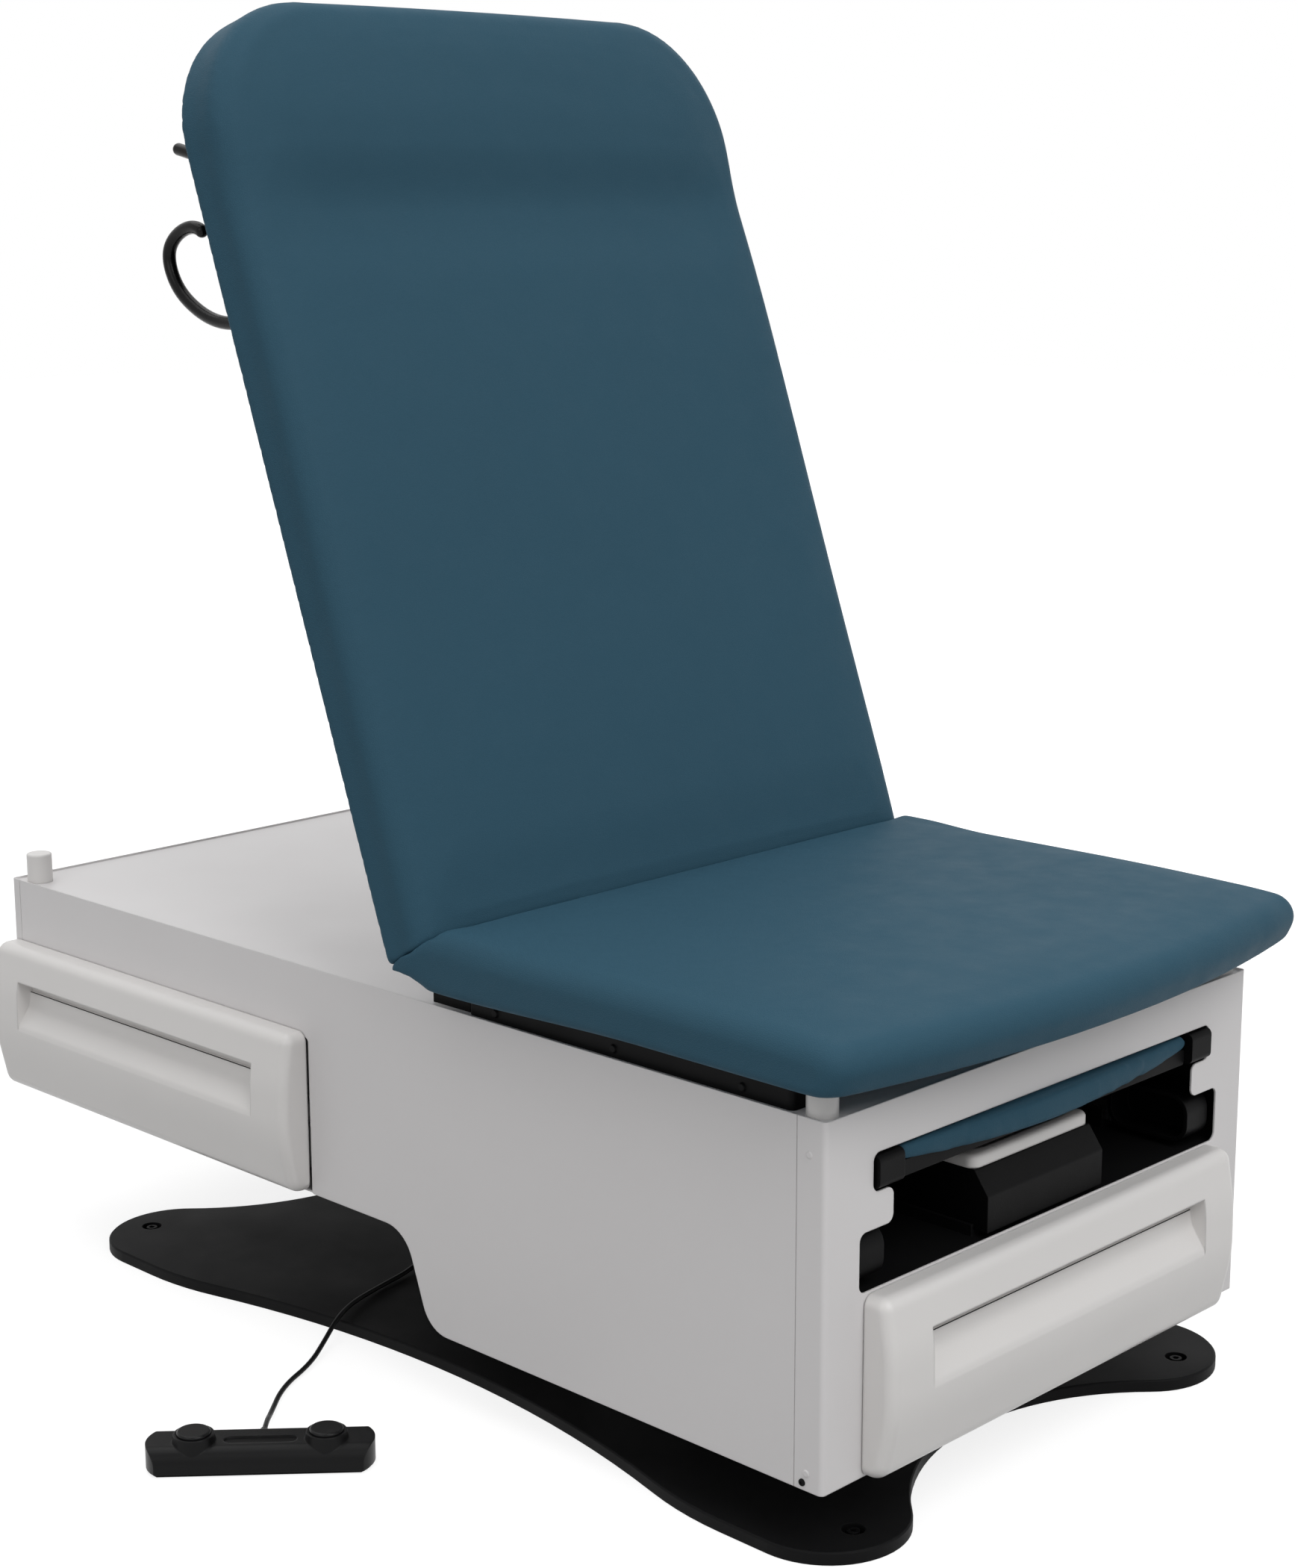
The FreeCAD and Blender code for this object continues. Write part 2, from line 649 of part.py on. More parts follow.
def chassis_frame():
    pieces = []
    for sx in (-1, 1):
        x0, x1 = sorted((sx * RAIL_IN, sx * (RAIL_IN + RAIL_W)))
        tube = box(x0, x1, IN_FRONT + 6, IN_REAR - 8, DECK_UNDER - RAIL_H, DECK_UNDER)
        bore = box(x0 + 2.5, x1 - 2.5, IN_FRONT + 6, IN_REAR - 8, DECK_UNDER - RAIL_H + 2.5, DECK_UNDER - 2.5)
        pieces.append(tube.cut(bore))
    near = STEP_Y1 + 92
    far = IN_REAR - 32
    for y, wide in ((IN_FRONT + 24, 40), (GAS_Y1 - 26, 40), (COL_Y - 62, 50), (COL_Y + 62, 50), (near, 40),
                    ((near + far) / 2, 40), (far, 40)):
        pieces.append(box(-RAIL_IN, RAIL_IN, y - wide / 2, y + wide / 2, DECK_UNDER - BAR_T, DECK_UNDER))
    for y in (GAS_Y0 - 8, GAS_Y1 - 30):
        plate = box(CRANK_X - 17, CRANK_X + 17, y, y + 8, GAS_Z - 11.5, DECK_UNDER)
        pieces.append(plate.cut(cyl((CRANK_X, y + 4 if y < GAS_Y0 else y, GAS_Z), (0, 1, 0), GAS_R, 8)))
    frame = joined(pieces)
    slot = box(CRANK_X - 16, CRANK_X + 16, SLOT_Y0 - 8, SLOT_Y1 + 8, DECK_UNDER - BAR_T, DECK_UNDER)
    return frame.cut(slot)


STEP_LINE = [(STEP_Y0, BOX_BOTTOM, STEP_R0), (STEP_Y1, REAR_BOTTOM, STEP_R1)]


def underside_skin():
    line = [(IN_FRONT, BOX_BOTTOM, 0)] + STEP_LINE + [(IN_REAR, REAR_BOTTOM, 0)]
    skin = prism(sheet_line(line, SHEET), "yz", -IN_HALF, IN_HALF)
    way = prism([(x, y + COL_Y, r) for x, y, r in
                 rect(-COL_X_HALF - 7, COL_X_HALF + 7, -COL_Y_HALF - 6, COL_Y_HALF + 6, COL_CORNER + 5)],
                "xy", BOX_BOTTOM - 2, BOX_BOTTOM + 20)
    return skin.cut(way)


# the panel reaches down a little way behind the drawer front
SIDE_HATCH_TOP = SIDE_DRAWER_Z + DRAWER_H - 6.0


def side_panel():
    points = [(FRONT_SEAM, BOX_BOTTOM, 0)] + STEP_LINE + [
        (SIDE_DRAWER_Y0 - 2, REAR_BOTTOM, 3), (SIDE_DRAWER_Y0 - 2, SIDE_HATCH_TOP, 4),
        (REAR_SEAM - SEAM, SIDE_HATCH_TOP, 0), (REAR_SEAM - SEAM, CH_TOP + RIM, 0),
        (FRONT_SEAM, CH_TOP + RIM, 0)]
    return prism(points, "yz", -CH_HALF, -IN_HALF)


def wrapped_panel(y_face, y_inner, y_flange, z0, z1):
    # A face with two side flanges, bent with a small outer radius
    y0, y1 = sorted((y_face, y_flange))
    block = box(-CH_HALF, CH_HALF, y0, y1, z0, z1)
    corner = [e for e in block.Edges if e.BoundBox.ZLength > 1 and abs(e.BoundBox.YMin - y_face) < 0.01]
    block = block.makeFillet(BEND_R, corner)
    y2, y3 = sorted((y_inner, y_flange + (y_flange - y_face)))
    return block.cut(box(-IN_HALF, IN_HALF, y2, y3, z0, z1))


def front_panel():
    panel = wrapped_panel(CH_FRONT, IN_FRONT, FRONT_SEAM - SEAM, BOX_BOTTOM, CH_TOP + RIM)
    half = [(LOW_HALF, LOW_Z0, OPEN_R), (LOW_HALF, LOW_Z1, OPEN_R), (TAB_HALF, LOW_Z1, OPEN_R),
            (TAB_HALF, UP_Z0, OPEN_R), (UP_HALF, UP_Z0, OPEN_R), (UP_HALF, UP_Z1, OPEN_R)]
    window = half + [(-a, b, r) for a, b, r in half[::-1]]
    panel = panel.cut(prism(window, "xz", CH_FRONT - 1, IN_FRONT + 1))
    hatch = rect(-HATCH_HALF, HATCH_HALF, BOX_BOTTOM + 11.5, LOW_Z0 - 10, 6)
    panel = panel.cut(prism(hatch, "xz", CH_FRONT - 1, IN_FRONT + 1))
    for sx in (-1, 1):
        for z in (BOX_BOTTOM + 16, CH_TOP - 30):
            head = Part.makeCone(3.6, 2.6, 0.9, V(sx * (CH_HALF - 0.01), FRONT_SEAM - 14, z), V(sx, 0, 0))
            panel = panel.fuse(head)
    return panel


def rear_panel():
    return wrapped_panel(CH_REAR, IN_REAR, REAR_SEAM, REAR_BOTTOM, CH_TOP + RIM)


def top_deck():
    deck = box(-IN_HALF, IN_HALF, IN_FRONT, IN_REAR, DECK_UNDER, CH_TOP)
    slot = rect(CRANK_X - 14, CRANK_X + 14, SLOT_Y0, SLOT_Y1, 8)
    return deck.cut(prism(slot, "xy", DECK_UNDER - 1, CH_TOP + 1))


def corner_posts():
    posts = []
    for sx in (-1, 1):
        for y, top in ((CH_FRONT + 20, SEAT_BOTTOM - SOFT_CLEAR),
                       (CH_REAR - 29, HINGE_Z + BACK_REAR_H - BOARD_T - 0.5)):
            post = cyl((sx * (CH_HALF - 18.5), y, CH_TOP), (0, 0, 1), POST_R, top - CH_TOP)
            rim = [e for e in post.Edges if e.BoundBox.ZMin > top - 0.01]
            posts.append(post.makeFillet(2, rim))
    return group(posts)


keep("chassis_frame", chassis_frame())
keep("underside_skin", underside_skin())
keep("side_panel_left", side_panel())
keep("side_panel_right", mirror_x(side_panel()))
keep("front_panel", front_panel())
keep("rear_panel", rear_panel())
keep("top_deck", top_deck())
keep("corner_posts", corner_posts())


# Stowage shelf behind the front opening, with its guides
def stowage_shelf():
    y0 = IN_FRONT + 1
    pieces = [box(-SHELF_HALF, SHELF_HALF, y0, SHELF_BACK, SHELF_Z, SHELF_Z + SHEET),
              box(-SHELF_HALF, SHELF_HALF, SHELF_BACK - SHEET, SHELF_BACK, SHELF_Z, SHELF_TOP)]
    for sx in (-1, 1):
        x0, x1 = sorted((sx * SHELF_HALF, sx * (SHELF_HALF - SHEET)))
        pieces.append(box(x0, x1, y0, SHELF_BACK, SHELF_Z, SHELF_TOP))
        y1 = SHELF_BACK - SHEET
        y2 = CH_FRONT + LEG_CAP_L - 1
        x0, x1 = sorted((sx * (LEG_OUT - 14.5), sx * (SHELF_HALF - SHEET)))
        rail = box(x0, x1, y2, y1, UP_Z0 + 1, UP_Z1 - 8.5)
        x0, x1 = sorted((sx * (LEG_OUT - 15.5), sx * (LEG_OUT + 3.5)))
        groove = box(x0, x1, y2, y1, LEG_BAR_Z - SLIDE_CLEAR, LEG_BAR_Z + LEG_BAR_H + SLIDE_CLEAR)
        pieces.append(rail.cut(groove))
        # open channel for the stirrup's bar
        x_mid = CUP_OUT - CUP_W / 2 - 0.5
        y3 = CUP_BACK + 7
        y4 = SHELF_BACK - 8
        guide_top = STIRRUP_Z + 12
        x0, x1 = sorted((sx * (x_mid - 16), sx * (x_mid + 16)))
        guide = box(x0, x1, y3, y4, SHELF_Z + SHEET, guide_top)
        x0, x1 = sorted((sx * (x_mid - STIRRUP_BAR / 2 - 0.5), sx * (x_mid + STIRRUP_BAR / 2 + 0.5)))
        pieces.append(guide.cut(box(x0, x1, y3, y4, STIRRUP_Z - SLIDE_CLEAR, guide_top)))
        # stepped strip that carries and steers the pan's sled
        y5 = CH_FRONT + 20
        y6 = SHELF_BACK - 19
        x0, x1 = sorted((sx * (PAN_HALF - 8), sx * (PAN_HALF + 4)))
        pieces.append(box(x0, x1, y5, y6, SHELF_Z + SHEET, PAN_Z))
        x0, x1 = sorted((sx * (PAN_HALF + 1), sx * (PAN_HALF + 4)))
        pieces.append(box(x0, x1, y5, y6, PAN_Z, PAN_Z + 6))
    return joined(pieces)


keep("stowage_shelf", stowage_shelf())


# Drawer runners: plates with two lips each, standing on the underside skin
def front_drawer_runners():
    plates = []
    y0 = CH_FRONT + 10
    y1 = SHELF_BACK - 10
    for sx in (-1, 1):
        x0, x1 = sorted((sx * HATCH_HALF, sx * (HATCH_HALF + RUNNER_T)))
        pieces = [box(x0, x1, y0, y1, BOX_BOTTOM + SHEET, SHELF_Z)]
        x0, x1 = sorted((sx * (HATCH_HALF - RUNNER_LIP), sx * HATCH_HALF))
        for z in (FRONT_BAR_Z - RUNNER_T, FRONT_BAR_Z + FRONT_BAR_H):
            pieces.append(box(x0, x1, y0, y1, z, z + RUNNER_T))
        plates.append(joined(pieces))
    return group(plates)


SIDE_NEAR = SIDE_DRAWER_Y0 + 5.0
SIDE_FAR = REAR_SEAM - 1.0


def side_drawer_runners():
    plates = []
    x = CH_HALF - 6.5
    for web0, lip0, lip1 in ((SIDE_NEAR - RUNNER_T, SIDE_NEAR, SIDE_NEAR + RUNNER_LIP - 2),
                             (SIDE_FAR, SIDE_FAR - RUNNER_LIP + 3, SIDE_FAR)):
        pieces = [box(-x, x, web0, web0 + RUNNER_T, REAR_BOTTOM + SHEET, SIDE_BAR_Z + 61)]
        for z in (SIDE_BAR_Z - RUNNER_T, SIDE_BAR_Z + SIDE_BAR_H):
            pieces.append(box(-x, x, lip0, lip1, z, z + RUNNER_T))
        plates.append(joined(pieces))
    return group(plates)


keep("front_drawer_runners", front_drawer_runners())
keep("side_drawer_runners", side_drawer_runners())


# Drawer front: a pillow-shaped moulding with an undercut finger scoop, seen from its own front
def drawer_front(width):
    h = DRAWER_H
    half = width / 2
    # the moulding's depth runs along -Y, its width along X, its height along Z
    side = [(0, 0, 0), (DRAWER_LOW, 0, 18), (DRAWER_BULGE, 0.37 * h, 160), (DRAWER_BULGE - 1, 0.7 * h, 160),
            (DRAWER_TOP, h, 13), (0, h, 0)]
    front = prism([(-d, w, r) for d, w, r in side], "yz", -half, half)
    ends = []
    for e in front.Edges:
        b = e.BoundBox
        if b.XLength < 0.01 and b.YMin < -0.5:
            ends.append(e)
    front = front.makeFillet(DRAWER_END_R, ends)
    # finger scoop: crisp upper edge, a step below it, then a ramp that rolls out to the face
    top = RECESS_W1
    low = RECESS_W0
    deep = DRAWER_BULGE - RECESS_DEPTH
    step = deep + RECESS_STEP
    scoop = [(-46, top, 0), (-deep, top, 2), (-deep, top - 13, 0), (-step, top - 13, 0.8),
             (-step - 2, low + 24, 20), (-DRAWER_BULGE + 1.6, low + 2, 9), (-DRAWER_BULGE - 1, low - 9, 0),
             (-46, low - 9, 0)]
    return front.cut(prism(scoop, "yz", -RECESS_HALF, RECESS_HALF))


def tray(x0, x1, y0, y1, z0, z1, wall):
    return box(x0, x1, y0, y1, z0, z1).cut(box(x0 + wall, x1 - wall, y0 + wall, y1 - wall, z0 + wall, z1 + 1))


def front_drawer():
    front = drawer_front(2 * FRONT_DRAWER_HALF)
    front.translate(V(0, CH_FRONT - DRAWER_OFF, FRONT_DRAWER_Z))
    keep("front_drawer_front", front)
    half = HATCH_HALF - RUNNER_LIP - 4
    y0 = CH_FRONT - DRAWER_OFF
    pieces = [tray(-half, half, y0, SHELF_BACK - 10, FRONT_DRAWER_Z + 17.5, SHELF_Z - 14, SHEET)]
    for sx in (-1, 1):
        x0, x1 = sorted((sx * half, sx * (HATCH_HALF - DRAWER_BAR_IN)))
        pieces.append(box(x0, x1, CH_FRONT + 10, SHELF_BACK - 14, FRONT_BAR_Z + SLIDE_CLEAR,
                          FRONT_BAR_Z + FRONT_BAR_H - SLIDE_CLEAR))
    keep("front_drawer_box", joined(pieces))


def side_drawer():
    width = CH_REAR - SIDE_DRAWER_Y0
    front = drawer_front(width)
    front.rotate(V(0, 0, 0), V(0, 0, 1), -90)
    x_back = -CH_HALF - DRAWER_OFF
    front.translate(V(x_back, SIDE_DRAWER_Y0 + width / 2, SIDE_DRAWER_Z))
    y0 = SIDE_NEAR + RUNNER_LIP + 1
    y1 = SIDE_FAR - RUNNER_LIP
    pieces = [tray(x_back, -14, y0, y1, SIDE_DRAWER_Z + 16, SIDE_DRAWER_Z + DRAWER_H - 14, SHEET)]
    for ya, yb in ((SIDE_NEAR + 1.5, y0), (y1, SIDE_FAR - 1.5)):
        pieces.append(box(13.5 - CH_HALF, -20, ya, yb, SIDE_BAR_Z + SLIDE_CLEAR,
                          SIDE_BAR_Z + SIDE_BAR_H - SLIDE_CLEAR))
    return front, joined(pieces)


front_drawer()
SIDE_FRONT, SIDE_BOX = side_drawer()
keep("side_drawer_left_front", SIDE_FRONT)
keep("side_drawer_left_box", SIDE_BOX)
keep("side_drawer_right_front", mirror_x(SIDE_FRONT))
keep("side_drawer_right_box", mirror_x(SIDE_BOX))


# Stowed leg rest, treatment pan on its sled, and two stirrups
def leg_rest():
    half = LEG_OUT - LEG_CAP_W - 0.5
    plate_z = LEG_BAR_Z + 6
    plate_top = plate_z + 3
    y0 = IN_FRONT + 6
    front_lip = prism(rect(-half, half, UP_Z0 + 2, plate_top, 3), "xz", IN_FRONT + 2, y0)
    pieces = [front_lip, box(-half, half, y0, LEG_REST_BACK, plate_z, plate_top)]
    for i in range(4):
        x = (2 * i - 3) / 3.0 * (half - 7.5)
        pieces.append(box(x - 1.5, x + 1.5, y0, LEG_REST_BACK, plate_z - 10, plate_z))
    for sx in (-1, 1):
        y1 = CH_FRONT + LEG_CAP_L - 3
        x0, x1 = sorted((sx * (half - 9), sx * LEG_OUT))
        pieces.append(box(x0, x1, y1, LEG_REST_BACK, LEG_BAR_Z, plate_z))
        x0, x1 = sorted((sx * (LEG_OUT - 10.5), sx * LEG_OUT))
        pieces.append(box(x0, x1, y1, LEG_REST_BACK, plate_z, LEG_BAR_Z + LEG_BAR_H))
    keep("leg_rest_frame", joined(pieces))
    caps = []
    for sx in (-1, 1):
        x0, x1 = sorted((sx * (LEG_OUT - LEG_CAP_W), sx * LEG_OUT))
        caps.append(prism(rect(CH_FRONT - 5, CH_FRONT - 5 + LEG_CAP_L, UP_Z0 + 3, LEG_TOP, 6), "yz", x0, x1))
    keep("leg_rest_caps", group(caps))
    x = half - 2
    y_back = LEG_REST_BACK - 2
    z0 = plate_top + SOFT_CLEAR
    edges = [Part.Arc(V(-x, CH_FRONT, z0), V(0, CH_FRONT - 13, z0), V(x, CH_FRONT, z0)).toShape(),
             Part.makeLine(V(x, CH_FRONT, z0), V(x, y_back, z0)),
             Part.makeLine(V(x, y_back, z0), V(-x, y_back, z0)),
             Part.makeLine(V(-x, y_back, z0), V(-x, CH_FRONT, z0))]
    pad = Part.Face(Part.Wire(edges)).extrude(V(0, 0, LEG_TOP - z0))
    rims = [e for e in pad.Edges if e.BoundBox.ZLength < 0.01]
    keep("leg_rest_pad", pad.makeFillet(6, rims))


def pan():
    z0 = PAN_Z + SLIDE_CLEAR
    y_front = CH_FRONT + 5
    w = PAN_HALF
    # the sled's front leans back above its face and ends in a flange under the pan's lip
    brow = PAN_RIM_Z - SLED_LEAN_H
    lean = y_front + SLED_LEAN_Y
    front = [(y_front, z0, 0), (y_front, brow, 4), (lean, PAN_RIM_Z, 2), (lean + 5, PAN_RIM_Z, 0),
             (lean + 5, PAN_RIM_Z - 3, 0), (lean + 1.5, PAN_RIM_Z - 3, 0), (y_front + 8, brow + 4, 0),
             (y_front + 8, z0, 0)]
    side = [(y_front + 7, z0, 0), (y_front + 7, brow + 3, 0), (lean, PAN_RIM_Z - 1, 0),
            (lean + 2, PAN_RIM_Z, 0), (PAN_BACK, PAN_RIM_Z, 0), (PAN_BACK, z0, 0)]
    sled = [box(-w, w, y_front, PAN_BACK, z0, z0 + 3), box(-w, w, PAN_BACK - 3, PAN_BACK, z0, PAN_RIM_Z),
            prism(front, "yz", -w, w)]
    for sx in (-1, 1):
        x0, x1 = sorted((sx * (w - 3), sx * w))
        sled.append(prism(side, "yz", x0, x1))
    keep("pan_sled", joined(sled))
    mid_y = (CH_FRONT + PAN_BACK) / 2 + 9
    reach = (PAN_BACK - CH_FRONT) / 2
    lip_z = PAN_RIM_Z + SLIDE_CLEAR
    low = LOW_Z0 + 10

    def outline(x_half, y_half, r):
        return [(x, y + mid_y, c) for x, y, c in rect(-x_half, x_half, -y_half, y_half, r)]

    def ring(x_half, y_half, r, z):
        return Part.Wire(rounded_edges(outline(x_half, y_half, r), "xy", z))

    outer = Part.makeLoft([ring(w - 14, reach - 29, 22, low), ring(w - 6, reach - 21, 24, lip_z)], True, True)
    inner = Part.makeLoft([ring(w - 16, reach - 31, 20, low + 2),
                           ring(w - 8, reach - 23, 22, lip_z + PAN_LIP + 0.1)], True, True)
    lip = prism(outline(w + 1, reach - 12, PAN_LIP_R), "xy", lip_z, lip_z + PAN_LIP)
    rim = [e for e in lip.Edges if e.BoundBox.ZMin > lip_z + PAN_LIP - 0.01]
    keep("treatment_pan", outer.fuse(lip.makeFillet(5, rim)).cut(inner))


def stirrups():
    x_mid = CUP_OUT - CUP_W / 2 - 0.5
    x0 = x_mid - STIRRUP_BAR / 2
    x1 = x_mid + STIRRUP_BAR / 2
    y1 = SHELF_BACK - 12
    z1 = STIRRUP_Z + STIRRUP_BAR
    tube = box(x0, x1, CUP_BACK, y1, STIRRUP_Z, z1)
    tube = tube.cut(box(x0 + 2.5, x1 - 2.5, CUP_BACK + 3, y1, STIRRUP_Z + 2.5, z1 - 2.5))
    cup = prism(rect(CH_FRONT + 6, CUP_BACK, CUP_Z0, CUP_Z1, 19), "yz", CUP_OUT - CUP_W, CUP_OUT)
    inside = rect(CH_FRONT + 10, CUP_BACK - 4, CUP_Z0 + 4, CUP_Z1 - 4, 16)
    hollow = prism(inside, "yz", CUP_OUT - CUP_W - 1, CUP_OUT - 6)
    cup = cup.cut(hollow)
    keep("stirrup_left_bar", mirror_x(tube))
    keep("stirrup_left_cup", mirror_x(cup))
    keep("stirrup_right_bar", tube)
    keep("stirrup_right_cup", cup)


leg_rest()
pan()
stirrups()


# Back, drawn lying flat with s along +Y and h along +Z from the hinge, then raised
def raise_back(shape, angle=BACK_ANGLE):
    moved = shape.copy()
    moved.rotate(V(0, 0, 0), V(1, 0, 0), angle)
    moved.translate(V(0, HINGE_Y, HINGE_Z))
    return moved


# Seat: black pan on the deck, cushion with bowed front edge and crowned top
def seat_frame():
    top = SEAT_BOTTOM - SOFT_CLEAR
    x = SEAT_PAN_HALF
    y0 = SEAT_PAN_FRONT
    y1 = SEAT_PAN_REAR
    outer = prism(rect(-x, x, y0, y1, 6), "xy", CH_TOP, top)
    inner = prism(rect(3 - x, x - 3, y0 + 3, y1 - 3, 4), "xy", CH_TOP, top - 3)
    pan_shape = outer.cut(inner)
    for sx in (-1, 1):
        for y in (y0 + 57, (y0 + y1) / 2 + 9.5, y1 - 38):
            bolt = Part.makeCone(4.5, 3.2, 2.2, V(sx * (x - 0.1), y, CH_TOP + 8.5), V(sx, 0, 0))
            pan_shape = pan_shape.fuse(bolt)
    return pan_shape


def bowed_outline(front, rear, bow_r, corner, rear_r, z):
    # Front edge on a large circle, round front corners, straight sides and rear
    x = PAD_HALF
    centre = V(0, front + bow_r, 0)
    # the corner circle touches the side inside and the bow inside
    cx = x - corner
    cy = centre.y - math.sqrt((bow_r - corner) ** 2 - cx ** 2)
    corner_c = V(cx, cy, 0)
    touch = centre + (corner_c - centre).normalize() * bow_r
    a0 = math.atan2(touch.y - cy, touch.x - cx)
    mid = corner_c + V(math.cos(a0 / 2), math.sin(a0 / 2), 0) * corner

    def p(v, sx=1):
        return V(sx * v.x, v.y, z)

    side = V(x, cy, 0)
    edges = [Part.Arc(p(touch, -1), V(0, front, z), p(touch)).toShape(),
             Part.Arc(p(touch), p(mid), p(side)).toShape()]
    tail = rounded_edges([(x, cy, 0), (x, rear, rear_r), (-x, rear, rear_r), (-x, cy, 0)], "xy", z, False)
    edges += tail
    edges.append(Part.Arc(p(side, -1), p(mid, -1), p(touch, -1)).toShape())
    return Part.Wire(Part.__sortEdges__(edges))


def crowned(low, stations):
    # A block whose top is an arc across X, its height changing along Y
    reach = PAD_HALF + 40
    wires = []
    for y, edge, crown in stations:
        line = [Part.makeLine(V(-reach, y, low), V(reach, y, low)),
                Part.makeLine(V(reach, y, low), V(reach, y, edge)),
                Part.Arc(V(reach, y, edge), V(0, y, crown), V(-reach, y, edge)).toShape(),
                Part.makeLine(V(-reach, y, edge), V(-reach, y, low))]
        wires.append(Part.Wire(line))
    return Part.makeLoft(wires, True, False)


def cushion(outline, low, stations):
    high = max(s[2] for s in stations) + 10
    block = Part.Face(outline).extrude(V(0, 0, high - low))
    pad = block.common(crowned(low - 5, stations))
    bottom = [e for e in pad.Edges if e.BoundBox.ZMax < low + 0.01]
    pad = pad.makeFillet(PAD_UNDER_ROUND, bottom)
    top = []
    for e in pad.Edges:
        if e.BoundBox.ZMin > low + 20:
            top.append(e)
    return pad.makeFillet(PAD_ROUND, top)


def seat_pad():
    far = HINGE_Y + 70
    outline = bowed_outline(SEAT_FRONT, far, SEAT_BOW_R, SEAT_CORNER_R, PAD_CORNER_R, SEAT_BOTTOM)
    e = SEAT_EDGE_TOP
    c = SEAT_EDGE_TOP + SEAT_CROWN
    stations = [(SEAT_FRONT - 20, e - 5, c - 7), (SEAT_FRONT + 90, e - 0.5, c - 0.5),
                ((SEAT_FRONT + HINGE_Y) / 2, e + 0.5, c + 2), (HINGE_Y - 80, e, c), (far + 20, e - 1, c - 2)]
    pad = cushion(outline, SEAT_BOTTOM, stations)
    # the raised back's lower end rests in a notch, and the tip below it follows a circle about the hinge
    reach = PAD_HALF + 40
    c70 = math.cos(math.radians(BACK_ANGLE))
    s70 = math.sin(math.radians(BACK_ANGLE))
    s = BACK_S0 - PAD_NIP
    h = BACK_FRONT_H + LOW_CROWN + PAD_NIP
    floor = (HINGE_Y + s * c70 - h * s70, HINGE_Z + s * s70 + h * c70)
    rise = SEAT_EDGE_TOP + 1.5 - floor[1]
    brow = (floor[0] + rise * c70 / s70, floor[1] + rise)
    notch = prism([(HINGE_Y + s * c70 + 200 * s70, HINGE_Z + s * s70 - 200 * c70, 0), (floor[0], floor[1], 0),
                   (brow[0], brow[1], CREASE_ROUND), (brow[0] - 60, brow[1] + 5, 0),
                   (brow[0] - 60, brow[1] + 200, 0), (HINGE_Y + 400, brow[1] + 200, 0)], "yz", -reach, reach)
    pad = pad.cut(notch)
    tip = BACK_S0 - PAD_NIP
    ahead = box(-reach, reach, SEAT_FRONT - 50, HINGE_Y, CH_TOP, HINGE_Z + 200)
    keep_in = ahead.fuse(cyl((-reach, HINGE_Y, HINGE_Z), (1, 0, 0), tip, 2 * reach))
    pad = pad.common(keep_in)
    under = prism([(HINGE_Y - 34, SEAT_BOTTOM - 1, 0), (HINGE_Y + 20, SEAT_BOTTOM - 1, 0),
                   (HINGE_Y + 20, HINGE_Z + 4, 0)], "yz", -reach, reach)
    pad = pad.cut(under)
    # clear of the hinge forks
    inner = BACK_RAIL_IN + BACK_RAIL_W - FORK_GAP - FORK_T - 5
    outer = BACK_RAIL_IN + BACK_RAIL_W + ARM_T + FORK_GAP + FORK_T + 5
    for sx in (-1, 1):
        x0, x1 = sorted((sx * inner, sx * outer))
        pad = pad.cut(box(x0, x1, HINGE_Y - 12, HINGE_Y + 40, CH_TOP, HINGE_Z + 60))
    return pad


keep("seat_frame", seat_frame())
keep("seat_pad", seat_pad())


# Back
def back_outline(inset, s0, s1, z):
    x = PAD_HALF - inset
    low_r = PAD_CORNER_R - inset
    top_r = BACK_TOP_R - inset
    points = [(-x, s0, low_r), (x, s0, low_r), (x, s1, top_r), (-x, s1, top_r)]
    return Part.Wire(rounded_edges(points, "xy", z))


def back_pad():
    f = BACK_FRONT_H
    start = BACK_S0 - 70
    stations = [(start - 20, f - 3, f), (BACK_S0 + 110, f - 1, f + LOW_CROWN), (BACK_S1 - 499, f, f + 5),
                (BACK_S1 - 239, f - 1, f + 3), (BACK_S1 - 174, f - 2, f + 1),
                (BACK_S1 - 89, f + 4, f + BACK_CROWN), (BACK_S1 + 20, f - 5, f - 1)]
    pad = cushion(back_outline(0, start, BACK_S1, BACK_REAR_H), BACK_REAR_H, stations)
    pad = pad.cut(box(-PAD_HALF - 10, PAD_HALF + 10, start - 50, BACK_S0, BACK_REAR_H - 50, f + 50))
    rim = [e for e in pad.Edges if e.BoundBox.YMax < BACK_S0 + 0.01]
    return pad.makeFillet(PAD_END_ROUND, rim)


BOARD_H0 = BACK_REAR_H - BOARD_T - SOFT_CLEAR
BOARD_H1 = BACK_REAR_H - SOFT_CLEAR
RAIL_H0 = BOARD_H0 - BACK_RAIL_H


def back_board():
    wire = back_outline(BOARD_IN, BACK_S0 + 6, BACK_S1 - BOARD_IN, BOARD_H0)
    return Part.Face(wire).extrude(V(0, 0, BOARD_T))


MID_TURN = math.radians((BACK_MAX + BACK_MIN) / 2)
CRANK_S = -CRANK_R * math.sin(MID_TURN)
CRANK_H = -CRANK_R * math.cos(MID_TURN)


